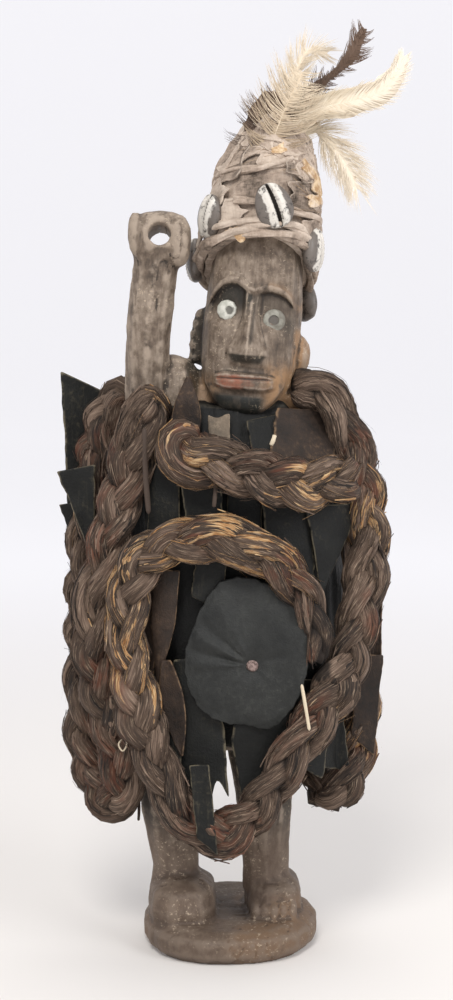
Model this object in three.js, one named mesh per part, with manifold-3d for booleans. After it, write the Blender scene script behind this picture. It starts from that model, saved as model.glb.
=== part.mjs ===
// A carved wooden power figure with one raised, pierced fist. It wears a cap set with cowrie
// shells and feathers, a bundle of hide blades, plaited fibre ropes and a round belly pouch.
// Units are millimetres. +Z is up, the figure faces -Y, and the origin is the centre of the
// underside of the carved base.
import * as THREE from 'three';
import { mergeVertices } from 'three/addons/utils/BufferGeometryUtils.js';
import Module from 'manifold-3d';

const wasm = await Module();
wasm.setup();

// Carved figure, in millimetres. Shares further down are shares of these.
const BASE_WIDTH = 89;
const BASE_DEPTH = 90;
const BASE_HEIGHT = 14;
const BASE_BEVEL = 4;
const LEG_HEIGHT = 96;
const TORSO_HALF_WIDTH = 26;
const TORSO_HALF_DEPTH = 19;
const SHOULDER_HEIGHT = 279;
const HEAD_HALF_WIDTH = 23.6;
const HEAD_HALF_DEPTH = 26;
const CHIN_BELOW_SHOULDER = 11;
const HEAD_HEIGHT = 107;
const HEAD_CENTRE_X = 12;
const HEAD_CENTRE_Y = -2;
const HEAD_TURN_DEG = 6;
const HEAD_TILT_DEG = 5;
const ARM_RADIUS = 11;
const FIST_X = -34;
const FIST_Y = -18;
const FIST_ABOVE_SHOULDER = 77.5;
const FIST_HOLE_RADIUS = 5.6;
const FIST_HOLE_SLOPE_DEG = 12;

// Inlaid eyes.
const EYE_RADIUS = 5.3;
const EYE_THICKNESS = 2.2;
const PUPIL_RADIUS = 2.4;

// Cap, shells and feathers.
const CAP_HEIGHT = 77;
const CAP_HALF_WIDTH = 27.5;
const CAP_HALF_DEPTH = 30;
const CAP_BRIM_SHARE = 0.68;
const CAP_BRIM_RISE = 18;
const COWRIE_LENGTH = 22;
const COWRIE_WIDTH = 18;
const COWRIE_DEPTH = 10;
const FEATHER_THICKNESS = 0.9;

// Bundle round the torso that carries the blades.
const BUNDLE_HALF_WIDTH = 57;
const BUNDLE_HALF_DEPTH = 37;
const BUNDLE_BELOW_SHOULDER = 3;
const BUNDLE_BELOW_HIP = 6;
const BUNDLE_CENTRE_X = 0;
const BUNDLE_SQUARENESS = 2.6;

// Hide blades.
const BLADE_THICKNESS = 1.4;
const WIDE_BLADE = 16;
const LAYER_STEP = 2.1;
const BACK_ROW_WIDTH = 84;
const BACK_ROW_PLAY = 6;
const BACK_BLADE_LENGTH = 94;
const BACK_BLADE_STAGGER = 6;
const BACK_LOW_ABOVE_HIP = 66;
const BACK_HIGH_BELOW_TOP = 14;

// Belly pouch and its nail.
const POUCH_HALF_WIDTH = 30;
const POUCH_HALF_HEIGHT = 37;
const POUCH_CROWN = 6.5;
const POUCH_RIM = 2.4;
const POUCH_X = 7.5;
const POUCH_HEIGHT = 157.5;
const POUCH_LIFT = 10;
const NAIL_HEAD_RADIUS = 3;
const NAIL_HEAD_HEIGHT = 2;
const NAIL_SHANK_RADIUS = 1.1;
const NAIL_LENGTH = 20;

// Three-strand plaits.
const PLAIT_SIDES = 7;
const PLAIT_STEP = 8.8;
const PLAIT_PITCH = 66;
const PLAIT_FACING = 25;

// Clearance left between any two touching pieces.
const SEAT_GAP = 0.35;

// Heights that follow from the sizes above.
const HIP_HEIGHT = BASE_HEIGHT + LEG_HEIGHT;
const CHIN_HEIGHT = SHOULDER_HEIGHT - CHIN_BELOW_SHOULDER;
const CAP_BRIM_HEIGHT = CHIN_HEIGHT + CAP_BRIM_SHARE * HEAD_HEIGHT;
const CAP_TOP_HEIGHT = CAP_BRIM_HEIGHT + CAP_HEIGHT;
const BUNDLE_TOP = SHOULDER_HEIGHT - BUNDLE_BELOW_SHOULDER;
const BUNDLE_BOTTOM = HIP_HEIGHT - BUNDLE_BELOW_HIP;
const BACK_LOW_TOP = HIP_HEIGHT + BACK_LOW_ABOVE_HIP;
const BACK_HIGH_TOP = BUNDLE_TOP - BACK_HIGH_BELOW_TOP;
const FIST_CENTRE = new THREE.Vector3(FIST_X, FIST_Y, SHOULDER_HEIGHT + FIST_ABOVE_SHOULDER);

const degrees = THREE.MathUtils.degToRad;
const lerp = THREE.MathUtils.lerp;
const signedPower = (value, power) => Math.sign(value) * Math.abs(value) ** power;
const bump = (value, centre, spread) => Math.exp(-(((value - centre) / spread) ** 2));

// Moves every vertex of a primitive by a rule.
function warp(geometry, rule) {
  const position = geometry.attributes.position;
  const vertex = new THREE.Vector3();
  for (let i = 0; i < position.count; i++) {
    rule(vertex.fromBufferAttribute(position, i));
    position.setXYZ(i, vertex.x, vertex.y, vertex.z);
  }
  return geometry;
}

// A closed primitive as a solid, turned the right way out.
function solid(geometry) {
  geometry.deleteAttribute('normal');
  geometry.deleteAttribute('uv');
  const merged = mergeVertices(geometry, 1e-4);
  const vertProperties = new Float32Array(merged.attributes.position.array);
  const triVerts = new Uint32Array(merged.index.array);
  const made = new wasm.Manifold(new wasm.Mesh({ numProp: 3, vertProperties, triVerts }));
  if (made.volume() > 0) return made;
  for (let i = 0; i < triVerts.length; i += 3) {
    [triVerts[i], triVerts[i + 1]] = [triVerts[i + 1], triVerts[i]];
  }
  return new wasm.Manifold(new wasm.Mesh({ numProp: 3, vertProperties, triVerts }));
}

// A solid as a flat-shaded three.js geometry.
function toGeometry(body) {
  const mesh = body.getMesh();
  const points = [];
  for (const index of mesh.triVerts) {
    for (let k = 0; k < 3; k++) points.push(mesh.vertProperties[index * mesh.numProp + k]);
  }
  const geometry = new THREE.BufferGeometry();
  geometry.setAttribute('position', new THREE.Float32BufferAttribute(points, 3));
  geometry.computeVertexNormals();
  return geometry;
}

// The same solid with every face moved out by a clearance, for cutting its neighbours.
function grown(body, clearance) {
  const mesh = body.getMesh();
  const { numProp, triVerts } = mesh;
  const at = (i) => new THREE.Vector3().fromArray(mesh.vertProperties, i * numProp);
  const count = mesh.vertProperties.length / numProp;
  const normals = Array.from({ length: count }, () => new THREE.Vector3());
  const faces = Array.from({ length: count }, () => []);
  for (let i = 0; i < triVerts.length; i += 3) {
    const corners = [triVerts[i], triVerts[i + 1], triVerts[i + 2]];
    const [a, b, c] = corners.map(at);
    const ab = b.clone().sub(a);
    const ac = c.clone().sub(a);
    const normal = ab.cross(ac);
    if (normal.length() < 1e-9) continue;
    for (const corner of corners) {
      normals[corner].add(normal);
      faces[corner].push(normal.clone().normalize());
    }
  }
  const moved = new Float32Array(count * 3);
  for (let i = 0; i < count; i++) {
    const normal = normals[i].normalize();
    const least = Math.max(0.45, Math.min(1, ...faces[i].map((face) => face.dot(normal))));
    at(i).addScaledVector(normal, clearance / least).toArray(moved, i * 3);
  }
  return new wasm.Manifold(
    new wasm.Mesh({ numProp: 3, vertProperties: moved, triVerts: new Uint32Array(triVerts) })
  );
}

// The largest body that is left after cutting.
function largest(body) {
  const pieces = body.decompose();
  return pieces.reduce((best, piece) => (piece.volume() > best.volume() ? piece : best));
}

const near = (a, b) => [0, 1, 2].every((k) => a.min[k] <= b.max[k] && b.min[k] <= a.max[k]);

// Cuts a body by those of the cutters that reach it.
function cutBy(body, cutters) {
  const box = body.boundingBox();
  let left = body;
  for (const cutter of cutters) {
    if (!near(box, cutter.box)) continue;
    const before = left;
    left = before.subtract(cutter.body);
    before.delete();
  }
  return largest(left);
}

const asCutter = (body) => ({ body, box: body.boundingBox() });

// An upright stack of rings. centre(t) and surface(t, angle) give points, t from 0 to 1 upwards.
function column(sides, rings, centre, surface) {
  const geometry = new THREE.CylinderGeometry(1, 1, 1, sides, rings).rotateX(Math.PI / 2);
  return warp(geometry, (v) => {
    const t = v.z + 0.5;
    const reach = Math.hypot(v.x, v.y);
    const angle = Math.atan2(v.y, v.x);
    const middle = centre(t);
    v.copy(surface(t, angle)).sub(middle).multiplyScalar(reach).add(middle);
  });
}

// A rounded block: a sphere squared off by a power under 1.
function pebble(centre, half, power = 0.8, across = 9, up = 6) {
  const geometry = new THREE.SphereGeometry(1, across, up).rotateX(Math.PI / 2);
  return warp(geometry, (v) => {
    v.set(signedPower(v.x, power), signedPower(v.y, power), signedPower(v.z, power));
    v.multiply(half).add(centre);
  });
}

// A tapering limb through stations of [x, y, z, half width, half depth], with rings across it.
function limb(stations, sides, rings) {
  const path = new THREE.CatmullRomCurve3(stations.map(([x, y, z]) => new THREE.Vector3(x, y, z)));
  const sizes = new THREE.CatmullRomCurve3(
    stations.map(([, , , wide, deep]) => new THREE.Vector3(wide, deep, 0))
  );
  return column(sides, rings, (t) => path.getPoint(t), (t, angle) => {
    const size = sizes.getPoint(t);
    const reach = new THREE.Vector3(size.x * Math.cos(angle), size.y * Math.sin(angle), 0);
    return path.getPoint(t).add(reach);
  });
}

// Carved base: a thick disc with a bevelled foot and a domed, uneven top.
function carvedBase() {
  const profile = [
    [0, 0.9],
    [BASE_BEVEL, 1],
    [BASE_HEIGHT * 0.85, 1],
    [BASE_HEIGHT * 1.1, 0.86],
  ];
  const rings = profile.length - 1;
  return column(22, rings, (t) => new THREE.Vector3(0, 0, profile[Math.round(t * rings)][0]), (t, a) => {
    const [height, share] = profile[Math.round(t * rings)];
    const uneven = 1 + 0.012 * Math.sin(3 * a + 1) + 0.01 * Math.sin(5 * a);
    const lift = height > BASE_BEVEL ? 2 * Math.max(0, Math.sin(a)) : 0;
    const x = (BASE_WIDTH / 2) * signedPower(Math.cos(a), 0.92) * share * uneven;
    const y = (BASE_DEPTH / 2) * signedPower(Math.sin(a), 0.92) * share * uneven;
    return new THREE.Vector3(x, y, height + lift);
  });
}

// Feet: blunt blocks on the base. The one on the +X side has five toes.
function feet() {
  const floor = BASE_HEIGHT;
  const left = pebble(new THREE.Vector3(-24, -3, floor + 7), new THREE.Vector3(18, 26, 15), 0.72);
  const right = pebble(new THREE.Vector3(22.5, 4, floor + 7), new THREE.Vector3(15, 21, 14), 0.72);
  const toes = [-2, -1, 0, 1, 2].map((place) => {
    const centre = new THREE.Vector3(22.5 + place * 4.6, -15.5 + Math.abs(place) * 1.1, floor + 4.5);
    return pebble(centre, new THREE.Vector3(2.5, 4, 6), 0.8, 6, 4);
  });
  return [left, right, ...toes];
}

// Legs, hips, torso and shoulders.
function trunk() {
  const hip = HIP_HEIGHT;
  const ankle = BASE_HEIGHT + 12;
  const leftLeg = limb(
    [
      [-28, 3, ankle, 13, 14],
      [-27.5, 2, ankle + 16, 12, 13],
      [-29.5, 1, ankle + 34, 15, 14.5],
      [-28, 1, ankle + 58, 17.5, 16],
      [-20, 2, hip, 18, 17],
    ],
    10,
    5
  );
  const rightLeg = limb(
    [
      [19, 3, ankle, 13, 14],
      [18.5, 2, ankle + 16, 12, 13],
      [18, 1, ankle + 40, 14, 14.5],
      [17, 1, ankle + 60, 16, 16],
      [14, 2, hip, 18, 17],
    ],
    10,
    5
  );
  const torso = limb(
    [
      [-3, 2, hip - 8, TORSO_HALF_WIDTH * 1.2, TORSO_HALF_DEPTH],
      [-2, 0, hip + 40, TORSO_HALF_WIDTH, TORSO_HALF_DEPTH * 1.15],
      [2, 1, SHOULDER_HEIGHT - 50, TORSO_HALF_WIDTH, TORSO_HALF_DEPTH],
      [8, 2, SHOULDER_HEIGHT, TORSO_HALF_WIDTH * 0.9, TORSO_HALF_DEPTH * 0.7],
      [HEAD_CENTRE_X, 3, SHOULDER_HEIGHT + 18, 13, 13],
    ],
    10,
    6
  );
  const bar = limb(
    [
      [0, 0, -44, 9, 9],
      [2, 0, -26, 13, 13],
      [0, 0, 10, 12, 13],
      [-1, 0, 40, 10, 12],
      [-2, 0, 55, 5, 7],
    ],
    9,
    5
  ).rotateY(Math.PI / 2);
  bar.translate(0, 1, SHOULDER_HEIGHT - 1);
  const web = pebble(new THREE.Vector3(-28, -3, SHOULDER_HEIGHT + 3), new THREE.Vector3(16, 12, 18), 0.95);
  return [leftLeg, rightLeg, torso, bar, web];
}

// Raised forearm that ends in a pierced fist.
function raisedArm() {
  const fist = FIST_CENTRE;
  const forearm = limb(
    [
      [-40, -4, SHOULDER_HEIGHT - 16, 12, 13],
      [-41, -9, SHOULDER_HEIGHT + 6, ARM_RADIUS, 12],
      [-40, -13, SHOULDER_HEIGHT + 28, ARM_RADIUS, 12],
      [-38.5, -15, SHOULDER_HEIGHT + 46, ARM_RADIUS * 1.04, 12],
      [fist.x - 2, -17, fist.z - 15, ARM_RADIUS, 11.5],
      [fist.x, fist.y, fist.z - 4, ARM_RADIUS * 1.1, 11],
    ],
    9,
    6
  );
  const palm = pebble(fist, new THREE.Vector3(14.6, 12.5, 13.4), 0.75, 14, 7);
  const thumb = pebble(
    fist.clone().add(new THREE.Vector3(9, -2.5, -1)),
    new THREE.Vector3(6.5, 11.5, 13),
    0.85,
    8,
    6
  );
  return [forearm, palm, thumb];
}

function fistHole() {
  const hole = new THREE.CylinderGeometry(FIST_HOLE_RADIUS, FIST_HOLE_RADIUS, 60, 14);
  hole.rotateX(-degrees(FIST_HOLE_SLOPE_DEG));
  return hole.translate(FIST_CENTRE.x, FIST_CENTRE.y, FIST_CENTRE.z);
}

// The head is shaped upright round its own centre line, then tilted and turned into place.
const headPlace = new THREE.Matrix4()
  .makeTranslation(HEAD_CENTRE_X, HEAD_CENTRE_Y, CHIN_HEIGHT + HEAD_HEIGHT / 2)
  .multiply(new THREE.Matrix4().makeRotationY(degrees(HEAD_TILT_DEG)))
  .multiply(new THREE.Matrix4().makeRotationZ(-degrees(HEAD_TURN_DEG)))
  .multiply(new THREE.Matrix4().makeTranslation(0, 0, -HEAD_HEIGHT / 2));

// Half width and front reach of the head as shares, by height from chin (0) to crown (1).
const headWidths = new THREE.CatmullRomCurve3(
  [0.34, 0.86, 1, 1.02, 1.02, 0.98, 0.93, 0.8, 0.45].map((w, i) => new THREE.Vector3(w, i, 0))
);
const headFronts = new THREE.CatmullRomCurve3(
  [0.62, 0.93, 0.98, 0.96, 0.93, 0.95, 0.88, 0.72, 0.4].map((w, i) => new THREE.Vector3(w, i, 0))
);
const EYE_SHARE_X = 0.5;
const EYE_SHARE_Z = 0.475;
const BROW_SHARE_Z = 0.602;

function skull() {
  const centre = (t) => new THREE.Vector3(0, 0, t * HEAD_HEIGHT);
  return column(20, 12, centre, (t, a) => {
    const across = signedPower(Math.cos(a), 0.85);
    const deep = signedPower(Math.sin(a), 0.85);
    const x = HEAD_HALF_WIDTH * headWidths.getPoint(t).x * across;
    const front = deep < 0;
    const reach = front ? headFronts.getPoint(t).x : Math.sin(Math.PI * (0.12 + 0.8 * t)) ** 0.7;
    let y = HEAD_HALF_DEPTH * reach * deep;
    if (front) {
      const side = Math.abs(across);
      const arch = BROW_SHARE_Z + 0.05 * bump(side, 0.5, 0.3) - 0.02;
      const eyeX = bump(side, EYE_SHARE_X, 0.26);
      const brow = 1.8 * bump(t, arch, 0.035) * (1 - side ** 6);
      const socket = 3.4 * eyeX * bump(t, EYE_SHARE_Z + 0.03, 0.075);
      const muzzle = 2.2 * bump(t, 0.2, 0.09) * bump(side, 0, 0.6);
      y += (socket - brow - muzzle) * Math.abs(deep);
    }
    return new THREE.Vector3(x, y, t * HEAD_HEIGHT);
  });
}

// Nose: a long wedge, narrow at the bridge, cut off square below.
function nose() {
  const wedge = new THREE.BoxGeometry(1, 1, 1, 2, 1, 3);
  return warp(wedge, (v) => {
    const t = v.z + 0.5;
    const half = lerp(10, 3.2, Math.min(1, t * 1.6) ** 0.7);
    const ridge = 1 - Math.abs(v.x) * 0.8;
    const out = v.y < 0 ? lerp(8.2, 2.2, t) * ridge : -9;
    v.set(v.x * 2 * half, -HEAD_HALF_DEPTH * 0.93 - out, lerp(0.295, 0.61, t) * HEAD_HEIGHT);
  });
}

function lips() {
  const front = -HEAD_HALF_DEPTH * 0.93;
  const lip = (share, half, thick) =>
    pebble(new THREE.Vector3(0, front, HEAD_HEIGHT * share), new THREE.Vector3(half, 5, thick), 0.8, 10, 5);
  const upper = lip(0.196, 14, 2.4);
  const lower = lip(0.152, 13, 2.7);
  return [upper, lower];
}

// Ears: a scalloped flap on one side and a smooth knob on the other.
function ears() {
  const side = HEAD_HALF_WIDTH;
  const flap = [0.43, 0.36, 0.29].map((share, i) =>
    pebble(
      new THREE.Vector3(-side + 1 - i * 0.6, 5, share * HEAD_HEIGHT),
      new THREE.Vector3(6.2, 8, 7.2),
      0.9,
      8,
      5
    )
  );
  const knob = pebble(
    new THREE.Vector3(side - 1, 5, HEAD_HEIGHT * 0.31),
    new THREE.Vector3(7.5, 8, 10.5),
    0.9,
    8,
    6
  );
  return [...flap, knob];
}

// Each eye's centre on the face, before the head is turned.
const eyeCentres = [-1, 1].map(
  (side) =>
    new THREE.Vector3(
      side * HEAD_HALF_WIDTH * EYE_SHARE_X,
      -HEAD_HALF_DEPTH * 0.74,
      HEAD_HEIGHT * (EYE_SHARE_Z + (side < 0 ? 0.012 : -0.012))
    )
);

// Inlaid eye: a faceted disc with a drilled pupil.
function eye(centre) {
  const profile = [
    [0, 0],
    [EYE_RADIUS, 0],
    [EYE_RADIUS, EYE_THICKNESS * 0.7],
    [EYE_RADIUS * 0.86, EYE_THICKNESS],
    [PUPIL_RADIUS, EYE_THICKNESS],
    [PUPIL_RADIUS * 0.9, EYE_THICKNESS * 0.6],
    [0, EYE_THICKNESS * 0.6],
  ].map(([x, y]) => new THREE.Vector2(x, y));
  const disc = new THREE.LatheGeometry(profile, 9).rotateX(Math.PI);
  const outwards = centre.x < 0 ? 0.3 : -0.3;
  disc.rotateZ(-outwards).translate(centre.x, centre.y, centre.z);
  return disc.applyMatrix4(headPlace);
}

function carvedFigure() {
  const headPieces = [skull(), nose(), ...lips(), ...ears()].map((g) => g.applyMatrix4(headPlace));
  const pieces = [carvedBase(), ...feet(), ...trunk(), ...raisedArm(), ...headPieces].map(solid);
  const whole = wasm.Manifold.union(pieces);
  const floor = new THREE.BoxGeometry(400, 400, 100).translate(0, 0, -50);
  return largest(whole.subtract(solid(fistHole())).subtract(solid(floor)));
}

// Centre line and half width of the cap, from brim (0) to top (1).
const capCentre = (t) =>
  new THREE.Vector3(HEAD_CENTRE_X + 1 + 9 * t, HEAD_CENTRE_Y + 3 * t, lerp(CAP_BRIM_HEIGHT, CAP_TOP_HEIGHT, t));
const capShare = new THREE.CatmullRomCurve3(
  [0.96, 1, 0.99, 0.93, 0.82, 0.62, 0.3].map((w, i) => new THREE.Vector3(w, i, 0))
);

function capSurface(t, angle, out = 0) {
  const share = capShare.getPoint(t).x;
  const lump = 1 + 0.03 * Math.sin(4 * angle + 9 * t) + 0.02 * Math.sin(7 * angle - 5 * t);
  const brim = CAP_BRIM_RISE * -Math.sin(angle) * (1 - t) ** 2;
  const point = capCentre(t);
  point.x += (CAP_HALF_WIDTH * share * lump + out) * Math.cos(angle);
  point.y += (CAP_HALF_DEPTH * share * lump + out) * Math.sin(angle);
  point.z += brim;
  return point;
}

const capBody = () => column(16, 6, capCentre, (t, angle) => capSurface(t, angle));

// Cowries round the cap: angle from +X seen from above, height share and tilt in degrees.
const COWRIES = {
  front: { angle: -73, share: 0.29, tilt: -14 },
  front_left: { angle: -149, share: 0.28, tilt: 18 },
  side_left: { angle: 172, share: 0.1, tilt: -8 },
  back_left: { angle: 122, share: 0.08, tilt: 6 },
  side_right: { angle: -20, share: 0.07, tilt: 4 },
  back_right: { angle: 34, share: -0.05, tilt: 22 },
  back: { angle: 84, share: 0.06, tilt: -6 },
};

// A cowrie lies along its slit, with the slit outwards: one line of the sphere is pressed in.
function cowrie({ angle, share, tilt }) {
  const turn = degrees(angle);
  const shell = new THREE.SphereGeometry(1, 8, 6).rotateX(Math.PI / 2);
  warp(shell, (v) => {
    const round = Math.atan2(v.x, -v.y);
    const slit = Math.abs(round) < 0.3 ? 0.62 : 1;
    const pinch = Math.hypot(v.x, v.y) * slit;
    const taper = 1 - 0.14 * v.z;
    v.set(
      (COWRIE_WIDTH / 2) * Math.sin(round) * pinch * taper,
      (-COWRIE_DEPTH / 2) * Math.cos(round) * pinch * 1.1,
      (COWRIE_LENGTH / 2) * v.z
    );
  });
  shell.rotateY(degrees(tilt)).rotateZ(turn + Math.PI / 2);
  const spot = capSurface(Math.max(0, share), turn, COWRIE_DEPTH * 0.32);
  if (share < 0) spot.z += share * (CAP_TOP_HEIGHT - CAP_BRIM_HEIGHT);
  return shell.translate(spot.x, spot.y, spot.z);
}

// Feathers: route from quill to tip, measured from the middle of the cap's top, greatest width,
// and the way that the flat side faces.
const FEATHERS = {
  feather_dark_tall: { route: [[2, 3, -15], [16, 1, 6], [30, -1, 21], [38, -3, 43]], width: 13, face: -80 },
  feather_tan: { route: [[-3, -11, -23], [3, -13, 1], [10, -13, 21], [15, -11, 33]], width: 27, face: -88 },
  feather_white_right: { route: [[5, -5, -11], [25, -9, 5], [46, -9, 11], [64, -7, 24]], width: 18, face: -78 },
  feather_white_droop: { route: [[11, -1, -14], [24, 1, -11], [36, 3, -24], [42, 5, -42]], width: 20, face: -84 },
  feather_white_top: { route: [[0, -1, -9], [8, 1, 11], [14, 3, 27], [26, 5, 33]], width: 15, face: -92 },
  feather_dark_left: { route: [[-6, -5, -15], [-10, -9, -4], [-16, -11, 5], [-24, -11, 3]], width: 18, face: -96 },
  feather_grey_back: { route: [[2, 7, -15], [8, 17, -5], [12, 27, -9], [16, 35, -23]], width: 18, face: -20 },
};

function feather({ route, width, face }) {
  const root = capCentre(1);
  const line = new THREE.CatmullRomCurve3(route.map((p) => new THREE.Vector3(...p).add(root)));
  const facing = new THREE.Vector3(Math.cos(degrees(face)), Math.sin(degrees(face)), 0);
  const vane = new THREE.BoxGeometry(1, 1, 1, 2, 1, 5);
  return warp(vane, (v) => {
    const t = v.z + 0.5;
    const tangent = line.getTangent(t);
    const across = new THREE.Vector3().crossVectors(tangent, facing).normalize();
    const normal = new THREE.Vector3().crossVectors(across, tangent).normalize();
    const half = (width / 2) * Math.max(0.09, Math.sin(Math.PI * Math.min(1, 0.08 + 0.9 * t)) ** 0.7);
    const droop = -1.2 * (2 * v.x) ** 2;
    const offset = across.multiplyScalar(2 * v.x * half);
    offset.addScaledVector(normal, v.y * FEATHER_THICKNESS + droop);
    v.copy(line.getPoint(t)).add(offset);
  });
}

// Half width and half depth of the bundle, as shares, from the bottom (0) to the top (1).
const bundleShare = new THREE.CatmullRomCurve3(
  [0.86, 0.95, 1, 1, 0.98, 0.92, 0.58].map((w, i) => new THREE.Vector3(w, i, 0))
);

function bundleSize(height) {
  const t = THREE.MathUtils.clamp((height - BUNDLE_BOTTOM) / (BUNDLE_TOP - BUNDLE_BOTTOM), 0, 1);
  const share = bundleShare.getPoint(t).x;
  return { wide: BUNDLE_HALF_WIDTH * share, deep: BUNDLE_HALF_DEPTH * share };
}

function bundle() {
  const centre = (t) => new THREE.Vector3(BUNDLE_CENTRE_X, 0, lerp(BUNDLE_BOTTOM, BUNDLE_TOP, t));
  return column(16, 4, centre, (t, a) => {
    const middle = centre(t);
    const { wide, deep } = bundleSize(middle.z);
    const power = 2 / BUNDLE_SQUARENESS;
    const x = wide * signedPower(Math.cos(a), power);
    return middle.add(new THREE.Vector3(x, deep * signedPower(Math.sin(a), power), 0));
  });
}

// A point over the bundle's front (side -1) or back (side 1), lifted off its surface.
function overBundle(x, height, lift, side = -1) {
  const { wide, deep } = bundleSize(height);
  const n = BUNDLE_SQUARENESS;
  const u = THREE.MathUtils.clamp((x - BUNDLE_CENTRE_X) / wide, -0.985, 0.985);
  const w = (1 - Math.abs(u) ** n) ** (1 / n);
  const normal = new THREE.Vector3(signedPower(u, n - 1) / wide, (side * w ** (n - 1)) / deep, 0);
  const point = new THREE.Vector3(x, side * deep * w, height);
  return point.addScaledVector(normal.normalize(), lift);
}

// Width of a blade along its length, by the cut of its end.
const CUTS = {
  point: (t) => (t < 0.45 ? 1 : Math.max(0.06, 1 - (t - 0.45) / 0.55)),
  wedge: (t) => Math.max(0.07, 1 - 0.93 * t),
  square: () => 1,
  slant: (t) => (t < 0.8 ? 1 : 1 - (t - 0.8) * 2.4),
  leaf: (t) => Math.max(0.08, Math.sin(Math.PI * (0.12 + 0.86 * t))),
};

// A blade that lies over the bundle: root and tip are [x, height] seen from the front.
function lyingBlade({ root, tip, width, cut = 'point', layer = 1, flare = 0, side = -1 }) {
  const strip = new THREE.BoxGeometry(1, 1, 1, width > WIDE_BLADE ? 2 : 1, 1, 3);
  const along = new THREE.Vector2(tip[0] - root[0], tip[1] - root[1]);
  const across = new THREE.Vector2(along.y, -along.x).normalize();
  return warp(strip, (v) => {
    const t = v.z + 0.5;
    const half = (width / 2) * CUTS[cut](t);
    const x = root[0] + along.x * t + across.x * 2 * v.x * half;
    const height = root[1] + along.y * t + across.y * 2 * v.x * half;
    const lift = layer * LAYER_STEP + flare * t * t + v.y * BLADE_THICKNESS;
    v.copy(overBundle(x, height, lift, side));
  });
}

// A blade that stands free of the bundle: root and tip are points, face is its flat side's way.
function standingBlade({ root, tip, width, cut = 'point', face = -90, bow = 0 }) {
  const strip = new THREE.BoxGeometry(1, 1, 1, 1, 1, 3);
  const from = new THREE.Vector3(...root);
  const to = new THREE.Vector3(...tip);
  const along = to.clone().sub(from).normalize();
  const facing = new THREE.Vector3(Math.cos(degrees(face)), Math.sin(degrees(face)), 0);
  const across = new THREE.Vector3().crossVectors(along, facing).normalize();
  const normal = new THREE.Vector3().crossVectors(across, along).normalize();
  return warp(strip, (v) => {
    const t = v.z + 0.5;
    const half = (width / 2) * CUTS[cut](t);
    const out = v.y * BLADE_THICKNESS + bow * Math.sin(Math.PI * t);
    const offset = across.clone().multiplyScalar(2 * v.x * half).addScaledVector(normal, out);
    v.copy(from).lerp(to, t).add(offset);
  });
}

// Blades on the front, those furthest forward first. Each is cut by the ones before it.
const LYING_BLADES = {
  blade_apron_long: { root: [-14, 96], tip: [-8, 57], width: 13, cut: 'slant', layer: 10, flare: 1 },
  blade_apron_left: { root: [-25, 154], tip: [-13, 77], width: 23, cut: 'leaf', layer: 4, flare: 2 },
  blade_apron_fold: { root: [-28, 154], tip: [-21, 106], width: 10, cut: 'leaf', layer: 5.6, flare: 1.5 },
  blade_apron_edge: { root: [-28, 140], tip: [-21, 84], width: 7, layer: 5.2, flare: 4 },
  blade_fork_left: { root: [-28, 198], tip: [-32, 140], width: 11, layer: 4.6 },
  blade_fork_outer: { root: [-38, 190], tip: [-36, 126], width: 9, layer: 3.4 },
  blade_over_pouch: { root: [-8, 208], tip: [-11, 178], width: 15, cut: 'slant', layer: 3.6 },
  blade_apron_right: { root: [20, 140], tip: [7, 78], width: 28, layer: 4.4, flare: 3 },
  blade_hip_right: { root: [40, 142], tip: [33, 92], width: 15, cut: 'slant', layer: 2.6, flare: 3 },
  blade_hip_outer: { root: [46, 140], tip: [49, 86], width: 15, cut: 'slant', layer: 1.6, flare: 3 },
  blade_side_right: { root: [45, 228], tip: [41, 186], width: 23, cut: 'wedge', layer: 3.8 },
  blade_mid_right: { root: [26, 238], tip: [28, 186], width: 22, cut: 'square', layer: 2.4 },
  blade_mid_centre: { root: [8, 240], tip: [6, 204], width: 17, cut: 'slant', layer: 1.4 },
  blade_mid_left: { root: [-14, 246], tip: [-10, 206], width: 18, cut: 'slant', layer: 2.6 },
  blade_chest_left: { root: [-31, 264], tip: [-31, 204], width: 15, cut: 'square', layer: 1.4 },
  blade_breast_right: { root: [33, 270], tip: [30, 243], width: 25, cut: 'slant', layer: 3 },
  blade_collar_right: { root: [15, 270], tip: [21, 240], width: 15, cut: 'slant', layer: 1.4 },
  blade_collar_left: { root: [-4, 246], tip: [-5, 271], width: 10, cut: 'square', layer: 3 },
};

const STANDING_BLADES = {
  blade_shoulder_up: { root: [-22, -32, 250], tip: [-20, -30, 290], width: 15, cut: 'leaf', face: -85 },
  blade_left_tall: { root: [-70, 17, 222], tip: [-73, 15, 292], width: 26, cut: 'slant', face: -80, bow: 1 },
  blade_left_flag: { root: [-76, -10, 244], tip: [-68, -14, 200], width: 20, cut: 'wedge', face: -96 },
  blade_left_low: { root: [-80, 14, 224], tip: [-76, 10, 196], width: 15, cut: 'wedge', face: -92 },
  blade_spike_left: { root: [-45, -10, 104], tip: [-46, -16, 66], width: 5, cut: 'wedge', face: -60 },
  blade_right_back: { root: [72, 6, 138], tip: [77, 6, 178], width: 11, cut: 'wedge', face: -75 },
  blade_right_low: { root: [72, 0, 148], tip: [67, -3, 96], width: 14, cut: 'slant', face: -75 },
};

// Back blades: two rows of plain points, worked out evenly.
function backBlades() {
  const made = {};
  const rows = [
    { name: 'blade_back_low', count: 4, top: BACK_LOW_TOP, layer: 1.4 },
    { name: 'blade_back_high', count: 3, top: BACK_HIGH_TOP, layer: 2.6 },
  ];
  for (const { name, count, top, layer } of rows) {
    for (let i = 0; i < count; i++) {
      const x = BUNDLE_CENTRE_X + (i - (count - 1) / 2) * (BACK_ROW_WIDTH / count);
      const lean = (i - (count - 1) / 2) * 4;
      made[`${name}_${i + 1}`] = {
        root: [x, top],
        tip: [x + lean, top - BACK_BLADE_LENGTH + BACK_BLADE_STAGGER * (i % 2)],
        width: (BACK_ROW_WIDTH - BACK_ROW_PLAY) / count,
        layer: layer + 0.5 * (i % 2),
        flare: 3,
        side: 1,
      };
    }
  }
  return made;
}

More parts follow.
